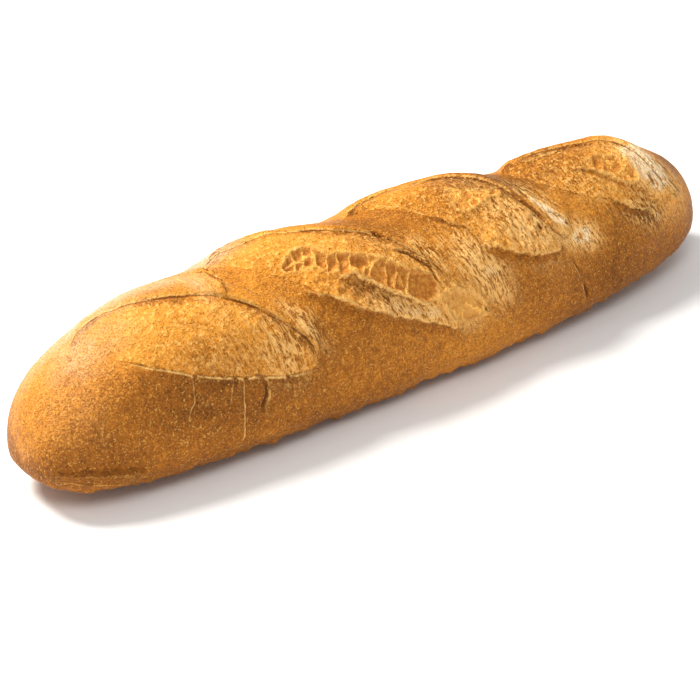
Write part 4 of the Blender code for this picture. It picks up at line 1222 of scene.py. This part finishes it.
class BaguetteStageSettings(bpy.types.PropertyGroup):
    """The floor and the lights."""
    floor_colour: bpy.props.FloatVectorProperty(
        name="Floor", description="Colour of the studio paper",
        **COLOUR, default=linear("#F6F6F6"))
    key_colour: bpy.props.FloatVectorProperty(
        name="Key Colour", description="Colour of the window light",
        subtype="COLOR", size=3, min=0.0, max=1.0, default=(1.0, 0.97, 0.90))
    key_power: bpy.props.FloatProperty(
        name="Key Power", description="Strength of the window light",
        default=17.5, min=0.0, unit="POWER")
    reflector_power: bpy.props.FloatProperty(
        name="Reflector Power", description="Strength of the soft light from the front",
        default=3.8, min=0.0, unit="POWER")
    key_size: bpy.props.FloatProperty(
        name="Key Size", description="Width of the window light and the reflector",
        default=0.45, min=0.05, unit="LENGTH")
    key_distance: bpy.props.FloatProperty(
        name="Key Distance", description="Distance of the window light and the reflector from the loaf",
        default=1.1, min=0.5, unit="LENGTH")
    fill_strength: bpy.props.FloatProperty(
        name="Fill", description="Strength of the white surroundings",
        default=0.50, min=0.0, max=3.0)


class BAGUETTE_OT_make_crust(bpy.types.Operator):
    """Build the crust of the loaf"""
    bl_idname = "baguette.make_crust"
    bl_label = "Crust"

    def execute(self, context):
        crust = make_crust(context.scene.baguette_crust)
        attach(crust, "root")
        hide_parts("baguette")
        return {"FINISHED"}


class BAGUETTE_OT_make_flakes(bpy.types.Operator):
    """Scatter dry flakes along the torn edges of the crust"""
    bl_idname = "baguette.make_flakes"
    bl_label = "Flakes"

    def execute(self, context):
        flakes = make_flakes(context.scene.objects["baguette_crust"], context.scene.baguette_crust)
        if not flakes.data.polygons:
            raise RuntimeError("no flakes were scattered")
        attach(flakes, "root")
        return {"FINISHED"}


class BAGUETTE_OT_make_stage(bpy.types.Operator):
    """Set up the floor, the lights and the camera"""
    bl_idname = "baguette.make_stage"
    bl_label = "Stage"

    def execute(self, context):
        make_stage(context.scene.baguette_stage)
        return {"FINISHED"}


class BAGUETTE_PT_panel(bpy.types.Panel):
    """The baguette's pieces and their settings"""
    bl_idname = "BAGUETTE_PT_panel"
    bl_label = "Baguette"
    bl_space_type = "VIEW_3D"
    bl_region_type = "UI"
    bl_category = "Baguette"

    def draw(self, context):
        layout = self.layout
        for settings, operators in (
                (context.scene.baguette_crust, (BAGUETTE_OT_make_crust, BAGUETTE_OT_make_flakes)),
                (context.scene.baguette_stage, (BAGUETTE_OT_make_stage,))):
            for name in settings.bl_rna.properties.keys():
                if name not in ("rna_type", "name"):
                    layout.prop(settings, name)
            for operator in operators:
                layout.operator(operator.bl_idname)


CLASSES = (BaguetteCrustSettings, BaguetteStageSettings, BAGUETTE_OT_make_crust,
           BAGUETTE_OT_make_flakes, BAGUETTE_OT_make_stage, BAGUETTE_PT_panel)


def register():
    """Register the classes and give the scene its settings."""
    for cls in CLASSES:
        bpy.utils.register_class(cls)
    bpy.types.Scene.baguette_crust = bpy.props.PointerProperty(type=BaguetteCrustSettings)
    bpy.types.Scene.baguette_stage = bpy.props.PointerProperty(type=BaguetteStageSettings)


def unregister():
    """Take the settings and the classes away again."""
    del bpy.types.Scene.baguette_stage
    del bpy.types.Scene.baguette_crust
    for cls in reversed(CLASSES):
        bpy.utils.unregister_class(cls)


def main():
    register()
    bpy.ops.baguette.make_crust()
    bpy.ops.baguette.make_flakes()
    bpy.ops.baguette.make_stage()


if __name__ == "__main__":
    main()
